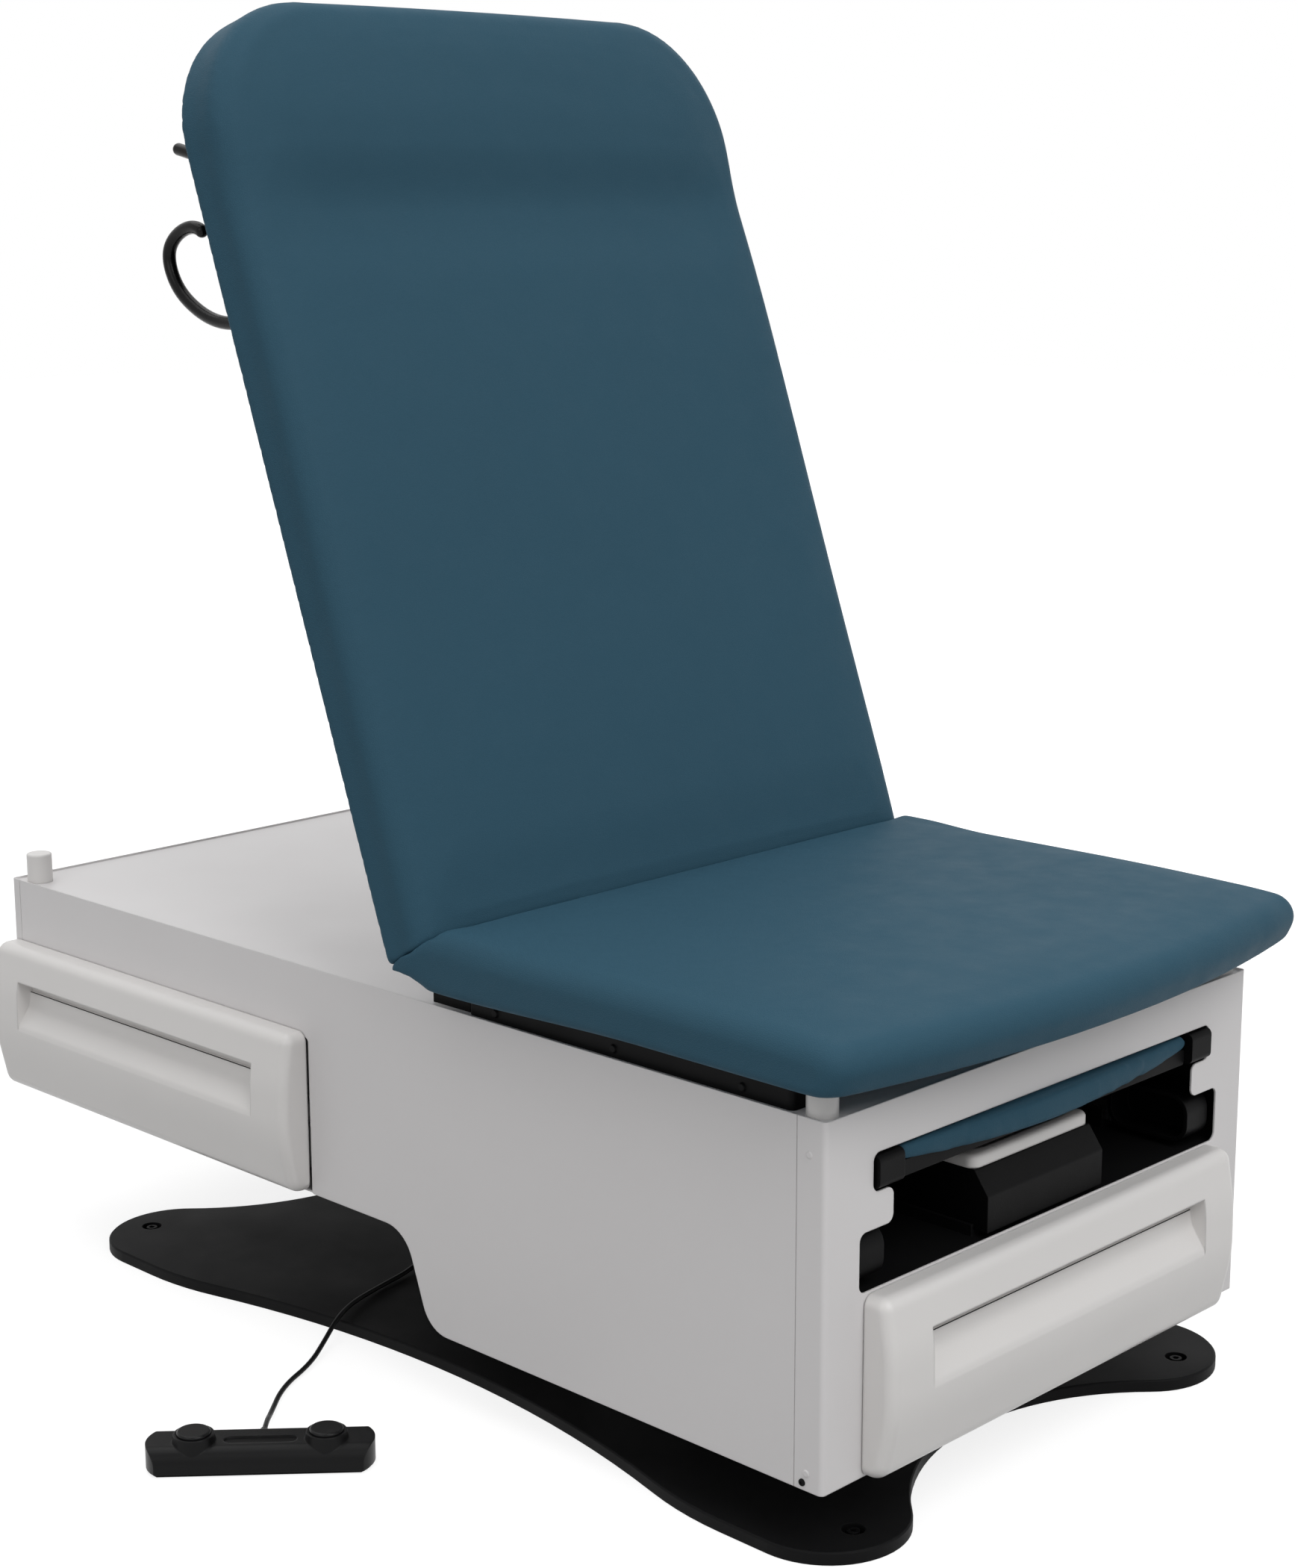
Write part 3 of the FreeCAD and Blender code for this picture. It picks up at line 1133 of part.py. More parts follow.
def back_frame():
    pieces = []
    for sx in (-1, 1):
        x0, x1 = sorted((sx * BACK_RAIL_IN, sx * (BACK_RAIL_IN + BACK_RAIL_W)))
        rail = box(x0, x1, 20, BACK_RAIL_END, RAIL_H0, BOARD_H0)
        pieces.append(rail.cut(box(x0 + 2.5, x1 - 2.5, 52, BACK_RAIL_END, RAIL_H0 + 2.5, BOARD_H0 - 2.5)))
        # gooseneck arm that reaches round the cushion's lower end to the hinge pin
        foot = [(-ARM_R, 0, 0), (-ARM_R, RAIL_H0, 14), (95, RAIL_H0, 4), (95, BOARD_H0 - 2, 4),
                (ARM_R + 1, BOARD_H0 - 2, 4), (ARM_R, 0, 0)]
        x0, x1 = sorted((sx * (BACK_RAIL_IN + BACK_RAIL_W), sx * (BACK_RAIL_IN + BACK_RAIL_W + ARM_T)))
        arm = prism(foot, "yz", x0, x1).fuse(cyl((x0, 0, 0), (1, 0, 0), ARM_R, ARM_T))
        pieces.append(arm)
    for s0 in (20, BACK_RAIL_END - 40):
        pieces.append(box(-BACK_RAIL_IN, BACK_RAIL_IN, s0, s0 + 30, RAIL_H0, BOARD_H0))
    # crank plate that the gas spring pushes
    boss = 11.0
    crank = prism([(CRANK_S - 8, CRANK_H + 8, 0), (CRANK_S + 6, CRANK_H - 9, 0), (50, RAIL_H0, 0),
                   (50, RAIL_H0 + 6, 0), (20, RAIL_H0 + 6, 0), (20, RAIL_H0, 0)],
                  "yz", CRANK_X - CRANK_T / 2, CRANK_X + CRANK_T / 2)
    crank = crank.fuse(cyl((CRANK_X - CRANK_T / 2, CRANK_S, CRANK_H), (1, 0, 0), boss, CRANK_T))
    pieces.append(crank)
    pieces.append(cyl((CRANK_X - 13, CRANK_S, CRANK_H), (1, 0, 0), CRANK_PIN_R, 26))
    frame = joined(pieces)
    for sx in (-1, 1):
        x0 = min(sx * (BACK_RAIL_IN + BACK_RAIL_W), sx * (BACK_RAIL_IN + BACK_RAIL_W + ARM_T))
        frame = frame.cut(cyl((x0 - 1, 0, 0), (1, 0, 0), PIN_R + RUN_CLEAR, ARM_T + 2))
    return frame


def hook_plate(s0, s1):
    # Foot of a hook, screwed to the back board near its edge
    inner = BACK_RAIL_IN + BACK_RAIL_W + HOOK_FOOT_CLEAR
    return prism(rect(-HOOK_X - 5, -inner, s0, s1, 6), "xy", BOARD_H0 - 5, BOARD_H0)


def paper_hooks():
    base = BOARD_H0 - 4
    bends = ((0, 0), (12, 34), (38, 66), (72, 85), (98, 82), (109, 60), (99, 25))
    curve = Part.BSplineCurve()
    curve.interpolate([V(-HOOK_X, HOOK_S + a, base - b) for a, b in bends])
    line = curve.toShape()
    ring = Part.makeCircle(HOOK_R, line.valueAt(line.FirstParameter), line.tangentAt(line.FirstParameter))
    hook = Part.Wire([line]).makePipeShell([Part.Wire([ring])], True, False)
    tip = Part.makeSphere(HOOK_R, line.valueAt(line.LastParameter))
    left = joined([hook, tip, hook_plate(HOOK_S - 24, HOOK_S + 24)])
    return group([left, mirror_x(left)])


def paper_pegs():
    base = BOARD_H0 - 3.6
    a = V(-HOOK_X, PEG_S, base)
    b = V(-HOOK_X, PEG_S + 18, base - 29)
    peg = Part.makeCylinder(PEG_R, a.distanceToPoint(b), a, b - a)
    left = joined([peg, Part.makeSphere(PEG_R, b), hook_plate(PEG_S - 20, PEG_S + 20)])
    return group([left, mirror_x(left)])


LEVER_H = BOARD_H0 - 14.0


def release_lever():
    # Paddle behind the head end that frees the gas spring's valve
    bracket = [box(-70, 70, LEVER_S - 14, LEVER_S + 14, BOARD_H0 - 3, BOARD_H0)]
    for sx in (-1, 1):
        x0, x1 = sorted((sx * 60.0, sx * 66.0))
        ear = prism([(LEVER_S - 12, BOARD_H0, 0), (LEVER_S + 12, BOARD_H0, 0), (LEVER_S + 6, LEVER_H - 6, 5),
                     (LEVER_S - 6, LEVER_H - 6, 5)], "yz", x0, x1)
        bracket.append(ear)
    bracket.append(cyl((-66, LEVER_S, LEVER_H), (1, 0, 0), 3, 132))
    keep("release_bracket", raise_back(joined(bracket)))
    paddle = prism([(LEVER_S - 5, LEVER_H - 4, 3), (LEVER_S + 62, LEVER_H - 6, 3),
                    (LEVER_S + 66, LEVER_H + 1, 3), (LEVER_S + 20, LEVER_H + 4, 10),
                    (LEVER_S - 5, LEVER_H + 6, 4)], "yz", -59, 59)
    paddle = paddle.cut(cyl((-60, LEVER_S, LEVER_H), (1, 0, 0), 3 + RUN_CLEAR, 120))
    keep("release_lever", raise_back(paddle))


keep("back_pad", raise_back(back_pad()))
keep("back_board", raise_back(back_board()))
keep("back_frame", raise_back(back_frame()))
keep("paper_hooks", raise_back(paper_hooks()))
keep("paper_pegs", raise_back(paper_pegs()))
release_lever()


# Hinge forks on the deck, their pins, and the gas spring
def hinge():
    forks = []
    pins = []
    arm0 = BACK_RAIL_IN + BACK_RAIL_W
    arm1 = arm0 + ARM_T
    foot = SEAT_PAN_REAR + 2
    for sx in (-1, 1):
        plates = []
        for x0 in (arm0 - FORK_GAP - FORK_T, arm1 + FORK_GAP):
            x1 = x0 + FORK_T
            a, b = sorted((sx * x0, sx * x1))
            ear = prism([(foot, CH_TOP, 0), (HINGE_Y + 9.5, CH_TOP, 0), (HINGE_Y + 9.5, HINGE_Z, 0),
                         (HINGE_Y - 9.5, HINGE_Z, 0), (HINGE_Y - 9.5, SEAT_BOTTOM + 3, 4),
                         (foot, CH_TOP + 22, 6)],
                        "yz", a, b)
            plates.append(ear.fuse(cyl((a, HINGE_Y, HINGE_Z), (1, 0, 0), 9.5, FORK_T)))
        a, b = sorted((sx * (arm0 - FORK_GAP - FORK_T), sx * (arm1 + FORK_GAP + FORK_T)))
        plates.append(box(a, b, foot, HINGE_Y + 9.5, CH_TOP, CH_TOP + 4))
        fork = joined(plates)
        forks.append(fork.cut(cyl((a - 1, HINGE_Y, HINGE_Z), (1, 0, 0), PIN_R, b - a + 2)))
        pin = joined([cyl((a - 2, HINGE_Y, HINGE_Z), (1, 0, 0), PIN_R, b - a + 4),
                      cyl((a - 3, HINGE_Y, HINGE_Z), (1, 0, 0), 8, 3),
                      cyl((b, HINGE_Y, HINGE_Z), (1, 0, 0), 8, 3)])
        pins.append(pin)
    keep("hinge_forks", group(forks))
    keep("hinge_pins", group(pins))


def gas_spring():
    turn = math.radians(BACK_ANGLE) - MID_TURN
    tip_y = HINGE_Y + CRANK_R * math.sin(turn)
    lift = CRANK_R * (1 - math.cos(MID_TURN)) / 2
    body = cyl((CRANK_X, GAS_Y0 - 4, GAS_Z), (0, 1, 0), GAS_R, GAS_Y1 - GAS_Y0 + 4)
    body = body.cut(cyl((CRANK_X, GAS_Y0 + 6, GAS_Z), (0, 1, 0), GAS_R - 1.6, GAS_Y1 - GAS_Y0 - 18))
    body = body.cut(cyl((CRANK_X, GAS_Y1 - 14, GAS_Z), (0, 1, 0), GAS_ROD_R + RUN_CLEAR, 16))
    keep("gas_spring_cylinder", body)
    block_y = tip_y - 17
    rod = [cyl((CRANK_X, GAS_Y1 - 32, GAS_Z), (0, 1, 0), GAS_ROD_R, block_y - GAS_Y1 + 26),
           cyl((CRANK_X, GAS_Y1 - 36, GAS_Z), (0, 1, 0), GAS_R - 2.0, 8),
           prism(rect(block_y - 12, block_y, GAS_Z - 9, GAS_Z + 9, 3), "yz", CRANK_X - 11, CRANK_X + 11)]
    slot_half = CRANK_PIN_R + SLOT_CLEAR
    tall = lift + slot_half
    slot = rect(tip_y - slot_half, tip_y + slot_half, GAS_Z - tall, GAS_Z + tall, slot_half - 0.1)
    for x0, x1 in ((CRANK_X - 11, CRANK_X - 5.5), (CRANK_X + 5.5, CRANK_X + 11)):
        edge = lift + 12
        cheek = prism([(block_y - 12, GAS_Z - 9, 2), (tip_y - 6, GAS_Z - edge, 6),
                       (tip_y + 13, GAS_Z - edge, 6), (tip_y + 13, GAS_Z + edge, 6),
                       (tip_y - 6, GAS_Z + edge, 6), (block_y - 12, GAS_Z + 9, 2)],
                      "yz", x0, x1)
        rod.append(cheek.cut(prism(slot, "yz", x0 - 1, x1 + 1)))
    keep("gas_spring_rod", joined(rod))


hinge()
gas_spring()

os.makedirs("parts", exist_ok=True)
for name, shape in NODES.items():
    solids = shape.Solids
    if not shape.isValid() or not solids or min(s.Volume for s in solids) <= 0:
        print("look at", name, shape.isValid(), [round(s.Volume, 1) for s in solids])
    shape.exportStep("parts/%s.step" % name)
print(len(NODES), "nodes")
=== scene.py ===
import bpy
import bmesh
import json
import math
import numpy as np
from mathutils import Matrix, Vector


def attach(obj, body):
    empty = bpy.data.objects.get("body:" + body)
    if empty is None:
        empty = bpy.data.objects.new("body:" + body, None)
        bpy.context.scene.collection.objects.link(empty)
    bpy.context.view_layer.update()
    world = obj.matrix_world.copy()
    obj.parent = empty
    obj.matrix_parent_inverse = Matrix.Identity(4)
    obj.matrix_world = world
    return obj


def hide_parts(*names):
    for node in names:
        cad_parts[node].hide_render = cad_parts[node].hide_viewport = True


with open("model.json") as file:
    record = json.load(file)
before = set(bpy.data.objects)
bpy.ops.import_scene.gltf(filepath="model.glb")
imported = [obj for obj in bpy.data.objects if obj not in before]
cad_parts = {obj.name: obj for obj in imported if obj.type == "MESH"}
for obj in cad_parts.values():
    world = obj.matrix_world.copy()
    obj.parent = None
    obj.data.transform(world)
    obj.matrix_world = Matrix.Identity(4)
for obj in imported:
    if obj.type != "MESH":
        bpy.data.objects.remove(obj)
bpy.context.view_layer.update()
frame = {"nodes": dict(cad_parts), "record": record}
nodes = frame["nodes"]
scene = bpy.context.scene
scene.view_settings.view_transform = "Standard"

# The back's own axes: s runs up the back from the hinge, h out of its front face
HINGE = Vector((0.0, -0.0472, 0.456))
TILT = math.radians(70.2)
UP_BACK = Vector((0.0, math.cos(TILT), math.sin(TILT)))
OUT_BACK = Vector((0.0, -math.sin(TILT), math.cos(TILT)))
UP, OUT = np.array(UP_BACK), np.array(OUT_BACK)


def on_back(x, s, h):
    return HINGE + Vector((x, 0.0, 0.0)) + UP_BACK * s + OUT_BACK * h


def back_axes(co):
    """s and h of an array of points."""
    return (co - np.array(HINGE)) @ UP, (co - np.array(HINGE)) @ OUT


# Camera at the photograph's place
AZIMUTH, ELEVATION, ROLL = (math.radians(v) for v in (-45.745, 12.075, -0.144))
CAMERA_PLACE = (-1.9435, -1.9203, 1.1485)
FOCAL_MM, SENSOR_MM = 62.27, 36.0
back = Vector((math.sin(AZIMUTH) * math.cos(ELEVATION),
               -math.cos(AZIMUTH) * math.cos(ELEVATION),
               math.sin(ELEVATION)))
right = Vector((math.cos(AZIMUTH), math.sin(AZIMUTH), 0.0))
up = back.cross(right)
right, up = (right * math.cos(ROLL) + up * math.sin(ROLL),
             up * math.cos(ROLL) - right * math.sin(ROLL))
lens = bpy.data.cameras.new("camera")
lens.lens = FOCAL_MM
lens.sensor_width = SENSOR_MM
lens.clip_start = 0.05
lens.clip_end = 60.0
camera = bpy.data.objects.new("camera", lens)
scene.collection.objects.link(camera)
camera.matrix_world = Matrix(
    [(right[i], up[i], back[i], CAMERA_PLACE[i]) for i in range(3)] + [(0, 0, 0, 1)])
scene.camera = camera


# Materials
def ramp(tree, value, start, end, low, high):
    """A Map Range node that takes start..end to low..high."""
    node = tree.nodes.new("ShaderNodeMapRange")
    node.inputs["From Min"].default_value = start
    node.inputs["From Max"].default_value = end
    node.inputs["To Min"].default_value = low
    node.inputs["To Max"].default_value = high
    tree.links.new(value, node.inputs["Value"])
    return node.outputs["Result"]


class Surface:
    """One procedural material: colour that drifts, uneven gloss, fine relief and softened edges."""

    def __init__(self, name, metallic=0.0, specular=0.5):
        self.material = bpy.data.materials.new(name)
        self.material.use_nodes = True
        self.tree = self.material.node_tree
        self.shader = self.tree.nodes["Principled BSDF"]
        self.shader.inputs["Metallic"].default_value = metallic
        self.shader.inputs["Specular IOR Level"].default_value = specular
        self.place = self.tree.nodes.new("ShaderNodeTexCoord").outputs["Object"]

    def link(self, a, b):
        self.tree.links.new(a, b)

    def stretched(self, scale):
        mapping = self.tree.nodes.new("ShaderNodeMapping")
        mapping.inputs["Scale"].default_value = scale
        self.link(self.place, mapping.inputs["Vector"])
        return mapping.outputs["Vector"]

    def noise(self, scale, detail=3.0, stretch=None, rough=0.55):
        node = self.tree.nodes.new("ShaderNodeTexNoise")
        node.inputs["Scale"].default_value = scale
        node.inputs["Detail"].default_value = detail
        node.inputs["Roughness"].default_value = rough
        self.link(self.stretched(stretch) if stretch else self.place, node.inputs["Vector"])
        return node.outputs["Fac"]

    def cells(self, scale):
        node = self.tree.nodes.new("ShaderNodeTexVoronoi")
        node.feature = "DISTANCE_TO_EDGE"
        node.inputs["Scale"].default_value = scale
        self.link(self.place, node.inputs["Vector"])
        return node.outputs["Distance"]

    def spread(self, value, low, high, frm=(0.25, 0.75)):
        return ramp(self.tree, value, frm[0], frm[1], low, high)

    def blend(self, fac, a, b):
        node = self.tree.nodes.new("ShaderNodeMix")
        node.data_type = "RGBA"
        for socket, value in ((6, a), (7, b)):
            if isinstance(value, (tuple, list)):
                node.inputs[socket].default_value = (*value[:3], 1.0)
            else:
                self.link(value, node.inputs[socket])
        self.link(fac, node.inputs[0])
        return node.outputs[2]

    def combine(self, operation, a, b):
        node = self.tree.nodes.new("ShaderNodeMath")
        node.operation = operation
        for i, value in enumerate((a, b)):
            if isinstance(value, (int, float)):
                node.inputs[i].default_value = value
            else:
                self.link(value, node.inputs[i])
        return node.outputs[0]

    def soft_edges(self, radius):
        # the shading normal turned round each edge, and a mask of where it turns
        bevel = self.tree.nodes.new("ShaderNodeBevel")
        bevel.samples = 6
        bevel.inputs["Radius"].default_value = radius
        geometry = self.tree.nodes.new("ShaderNodeNewGeometry")
        dot = self.tree.nodes.new("ShaderNodeVectorMath")
        dot.operation = "DOT_PRODUCT"
        self.link(bevel.outputs["Normal"], dot.inputs[0])
        self.link(geometry.outputs["Normal"], dot.inputs[1])
        return bevel.outputs["Normal"], self.spread(dot.outputs["Value"], 1.0, 0.0, (0.86, 0.995))

    def bump(self, height, distance, normal=None):
        node = self.tree.nodes.new("ShaderNodeBump")
        node.inputs["Strength"].default_value = 1.0
        node.inputs["Distance"].default_value = distance
        self.link(height, node.inputs["Height"])
        if normal is not None:
            self.link(normal, node.inputs["Normal"])
        return node.outputs["Normal"]

    def colour(self, value):
        self.link(value, self.shader.inputs["Base Color"])

    def roughness(self, value):
        self.link(value, self.shader.inputs["Roughness"])

    def normal(self, value):
        self.link(value, self.shader.inputs["Normal"])


def tint(colour, factor):
    return tuple(min(1.0, c * factor) for c in colour)


def coated(name, colour, drift, gloss, gloss_drift, grain, depth, edge, worn, wear, specular=0.5,
           speckle=0.0, waves=0.0, dust=None):
    """Paint or moulded plastic: large drift of colour, fine grain, rounded edges rubbed to another tone."""
    m = Surface(name, 0.0, specular)
    broad = m.noise(2.6, 4.0)
    base = m.blend(m.spread(broad, 0.0, 1.0), tint(colour, 1 - drift), tint(colour, 1 + drift))
    if speckle:
        fine = m.spread(m.noise(grain * 0.9, 1.0), 0.0, speckle, (0.58, 0.72))
        base = m.blend(fine, base, tint(colour, 0.55))
    if dust:
        film = m.spread(m.noise(7.0, 5.0), 0.0, 0.35, (0.52, 0.80))
        base = m.blend(film, base, dust)
    edge_normal, mask = m.soft_edges(edge)
    rubbed = m.combine("MULTIPLY", mask, m.spread(m.noise(55.0, 4.0), 0.0, wear, (0.42, 0.70)))
    m.colour(m.blend(rubbed, base, worn))
    m.roughness(m.spread(m.noise(9.0, 4.0), gloss - gloss_drift, gloss + gloss_drift))
    relief = m.bump(m.noise(grain, 2.0), depth, edge_normal)
    if waves:
        relief = m.bump(m.noise(14.0, 2.0), waves, relief)
    m.normal(relief)
    return m.material


def metal(name, colour, gloss, along, scale, depth, edge):
    """Bare metal with drawn or brushed lines along one axis."""
    m = Surface(name, 1.0)
    lines = m.noise(scale, 4.0, along, 0.7)
    m.colour(m.blend(m.spread(lines, 0.0, 1.0), tint(colour, 0.86), tint(colour, 1.10)))
    m.roughness(m.spread(m.noise(12.0, 4.0), gloss * 0.75, gloss * 1.3))
    edge_normal, _ = m.soft_edges(edge)
    m.normal(m.bump(lines, depth, edge_normal))
    return m.material


def vinyl(name, colour):
    """Upholstery vinyl: pebbled grain, slight unevenness of the foam, a dull sheen."""
    m = Surface(name, 0.0, 0.07)
    broad = m.noise(3.2, 3.0)
    pebble = m.cells(620.0)
    base = m.blend(m.spread(broad, 0.0, 1.0), tint(colour, 0.972), tint(colour, 1.028))
    base = m.blend(m.spread(pebble, 0.16, 0.0, (0.0, 0.22)), base, tint(colour, 0.72))
    m.colour(base)
    m.roughness(m.spread(m.noise(26.0, 4.0), 0.50, 0.64))
    relief = m.bump(m.noise(17.0, 2.0), 0.0007)
    relief = m.bump(m.noise(240.0, 3.0), 0.00010, relief)
    m.normal(m.bump(m.spread(pebble, 0.0, 1.0, (0.0, 0.30)), 0.00012, relief))
    return m.material


slots = {
    "upholstery": vinyl("upholstery", (0.0345, 0.0915, 0.1345)),
    "cabinet_paint": coated(
        "cabinet_paint", (0.765, 0.748, 0.750), 0.012, 0.42, 0.05, 900.0, 0.00006, 0.0016,
        (0.66, 0.65, 0.645), 0.35, waves=0.00035),
    "moulded_white": coated(
        "moulded_white", (0.80, 0.782, 0.768), 0.014, 0.33, 0.06, 420.0, 0.00004, 0.0030,
        (0.70, 0.68, 0.66), 0.30, waves=0.0008),
    "black_paint": coated(
        "black_paint", (0.0048, 0.0048, 0.0051), 0.16, 0.56, 0.07, 1500.0, 0.00010, 0.0012,
        (0.030, 0.030, 0.031), 0.45, 0.08, speckle=0.25, dust=(0.010, 0.010, 0.0103)),
    "black_plastic": coated(
        "black_plastic", (0.0028, 0.0028, 0.0030), 0.14, 0.48, 0.07, 1100.0, 0.00014, 0.0012,
        (0.020, 0.020, 0.021), 0.40, 0.07, speckle=0.3),
    "gloss_black": coated(
        "gloss_black", (0.0036, 0.0036, 0.0038), 0.12, 0.20, 0.05, 300.0, 0.00003, 0.0010,
        (0.02, 0.02, 0.021), 0.3, 0.14),
    "control_black": coated(
        "control_black", (0.0036, 0.0036, 0.0039), 0.14, 0.32, 0.08, 1300.0, 0.00010, 0.0016,
        (0.040, 0.040, 0.041), 0.5, 0.14, speckle=0.2, dust=(0.009, 0.009, 0.009)),
    "button_black": coated(
        "button_black", (0.0045, 0.0045, 0.0048), 0.12, 0.24, 0.06, 700.0, 0.00004, 0.0014,
        (0.05, 0.05, 0.052), 0.5, 0.18),
    "rubber": coated(
        "rubber", (0.007, 0.007, 0.007), 0.15, 0.72, 0.08, 800.0, 0.00015, 0.0010,
        (0.025, 0.025, 0.025), 0.3, 0.12),
    "cord_jacket": coated(
        "cord_jacket", (0.006, 0.006, 0.0063), 0.15, 0.46, 0.08, 900.0, 0.00008, 0.0006,
        (0.03, 0.03, 0.03), 0.2, 0.15),
    "nylon": coated(
        "nylon", (0.62, 0.61, 0.57), 0.04, 0.38, 0.06, 500.0, 0.00004, 0.0010,
        (0.52, 0.50, 0.45), 0.3),
    "zinc_steel": metal(
        "zinc_steel", (0.56, 0.57, 0.58), 0.34, (1.0, 0.08, 1.0), 220.0, 0.00003, 0.0008),
    "bright_steel": metal(
        "bright_steel", (0.66, 0.665, 0.67), 0.14, (1.0, 0.05, 1.0), 300.0, 0.00001, 0.0006),
    "column_alloy": metal(
        "column_alloy", (0.60, 0.605, 0.61), 0.36, (1.0, 1.0, 0.03), 260.0, 0.00004, 0.0012),
}
for entry in frame["record"]["subparts"]:
    ob = nodes[entry["node"]]
    ob.data.materials.clear()
    ob.data.materials.append(slots[entry["material_slot"]])


def new_object(name, mesh, slot):
    ob = bpy.data.objects.new(name, mesh)
    scene.collection.objects.link(ob)
    mesh.materials.clear()
    mesh.materials.append(slots[slot])
    return ob


# Cushions: the solid's form drawn in a little, then blown up by cloth simulation against its board
def evened(values, pairs, rounds):
    count = np.maximum(np.bincount(pairs.ravel(), minlength=len(values)), 1)
    for _ in range(rounds):
        total = np.bincount(pairs[:, 0], values[pairs[:, 1]], len(values))
        total += np.bincount(pairs[:, 1], values[pairs[:, 0]], len(values))
        values = 0.5 * values + 0.5 * total / count
    return values


def eased(values, low, high):
    t = np.clip((values - low) / (high - low), 0.0, 1.0)
    return t * t * (3.0 - 2.0 * t)


HELD, FREE = 0.006, 0.012        # the cover is fast up to HELD above its board and comes free over FREE
SWELL = (-0.003, 0.0035)         # how far the simulation may move the cover along its normal
EVEN_ROUNDS, SIM_FRAMES = 60, 20


def cushion(node, name, body, voxel, slack, board, out, room, shape):
    """The pad's cover: drawn in by slack, blown up, kept within room(), then given its hems by shape()."""
    mesh = nodes[node].data.copy()
    form = bmesh.new()
    form.from_mesh(mesh)
    bmesh.ops.remove_doubles(form, verts=form.verts, dist=2e-5)
    form.normal_update()
    form.to_mesh(mesh)
    form.free()
    ob = new_object(name, mesh, "upholstery")
    remesh = ob.modifiers.new("remesh", "REMESH")
    remesh.mode = "VOXEL"
    remesh.voxel_size = voxel
    smooth = ob.modifiers.new("smooth", "SMOOTH")
    smooth.factor = 0.5
    smooth.iterations = 4
    wrap = ob.modifiers.new("wrap", "SHRINKWRAP")
    wrap.target = nodes[node]
    wrap.wrap_method = "NEAREST_SURFACEPOINT"
    smooth = ob.modifiers.new("smooth again", "SMOOTH")
    smooth.factor = 0.5
    smooth.iterations = 2

    def baked():
        graph = bpy.context.evaluated_depsgraph_get()
        made = bpy.data.meshes.new_from_object(ob.evaluated_get(graph))
        ob.modifiers.clear()
        ob.data = made

    def read(kind):
        flat = np.empty(len(ob.data.vertices) * 3)
        ob.data.vertices.foreach_get(kind, flat)
        return flat.reshape(-1, 3)

    def put(co):
        ob.data.vertices.foreach_set("co", co.ravel())
        ob.data.update()

    baked()
    full = read("co")
    facing = read("normal")
    pairs = np.empty(len(ob.data.edges) * 2, dtype=np.int64)
    ob.data.edges.foreach_get("vertices", pairs)
    pairs = pairs.reshape(-1, 2)
    height = full @ np.array(out) - board
    loose = np.clip((height - HELD) / FREE, 0.0, 1.0)
    final = full
    put(full - facing * (slack * loose)[:, None])
    group = ob.vertex_groups.new(name="held")
    group.add(np.nonzero(height < HELD)[0].tolist(), 1.0, "REPLACE")
    cloth = ob.modifiers.new("cloth", "CLOTH")
    cloth.settings.quality = 3
    cloth.settings.mass = 0.25
    cloth.settings.tension_stiffness = 12.0
    cloth.settings.compression_stiffness = 12.0
    cloth.settings.bending_stiffness = 1.2
    cloth.settings.use_pressure = True
    cloth.settings.uniform_pressure_force = 4.0
    cloth.settings.effector_weights.gravity = 0.0
    cloth.settings.vertex_group_mass = "held"
    cloth.collision_settings.use_collision = False
    for number in range(1, SIM_FRAMES + 1):
        scene.frame_set(number)
    baked()
    blown = read("co")
    scene.frame_set(1)
    swell = np.einsum("ij,ij->i", blown - full, facing)
    swell = evened(np.clip(swell, *SWELL) * loose, pairs, EVEN_ROUNDS)
    final = full + facing * np.minimum(swell, room(full))[:, None]
    put(shape(final))
    for polygon in ob.data.polygons:
        polygon.use_smooth = True
    ob.data.materials.clear()
    ob.data.materials.append(slots["upholstery"])
    finer = ob.modifiers.new("finer", "SUBSURF")
    finer.levels = 1
    finer.render_levels = 1
    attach(ob, body)
    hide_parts(node)


def seat_room(co):
    return 0.0004 + 0.0030 * eased(-co[:, 1], 0.085, 0.150)


def crease(co):
    # the back's lower end and the seat's notch curve together where they meet
    s, h = back_axes(co)
    dip = np.clip(1.0 - ((h - 0.024) / 0.015) ** 2, 0.0, 1.0)
    dip = dip * (1.0 - eased(np.abs(s - 0.0115), 0.004, 0.026))
    return co - (0.0026 * dip)[:, None] * UP


def corner_fall(co, h):
    # at the sides the crease slants down towards the rear of the back
    return 0.0155 * np.clip((0.036 - h) / 0.050, 0.0, 1.0) * eased(np.abs(co[:, 0]), 0.318, 0.350)


def seat_hem(co):
    # the wrapped edge hangs a little lower beside the frame, towards the back, its rear corners fall away
    # and reach under the back's, and its foot end bows forward over a tucked lower edge
    x, y, z = co.T
    s, h = back_axes(co)
    low = 1.0 - eased(z, 0.441, 0.462)
    hem = low * eased(np.abs(x), 0.313, 0.332) * eased(y, -0.36, -0.10)
    hem = hem * (1.0 - 0.5 * eased(y, -0.09, -0.05))
    near = 1.0 - eased(0.0105 - s, 0.004, 0.034)
    rise = near * (0.0043 * eased(np.abs(x), 0.303, 0.345) - corner_fall(co, h))
    tip = eased(np.abs(x), 0.322, 0.350) * eased(y, -0.095, -0.062) * eased(z, 0.444, 0.456)
    bow = eased(-y, 0.47, 0.585) * (0.004 + 0.012 * np.clip(1.0 - (x / 0.34) ** 2, 0.0, 1.0))
    tuck = (1.0 - eased(z, 0.441, 0.464)) * eased(-y, 0.535, 0.575)
    co = crease(co) + rise[:, None] * UP - (0.0085 * tip)[:, None] * OUT
    co[:, 0] += 0.003 * tip * np.sign(x)
    co[:, 1] += 0.008 * tuck - bow
    co[:, 2] -= 0.007 * hem
    return co


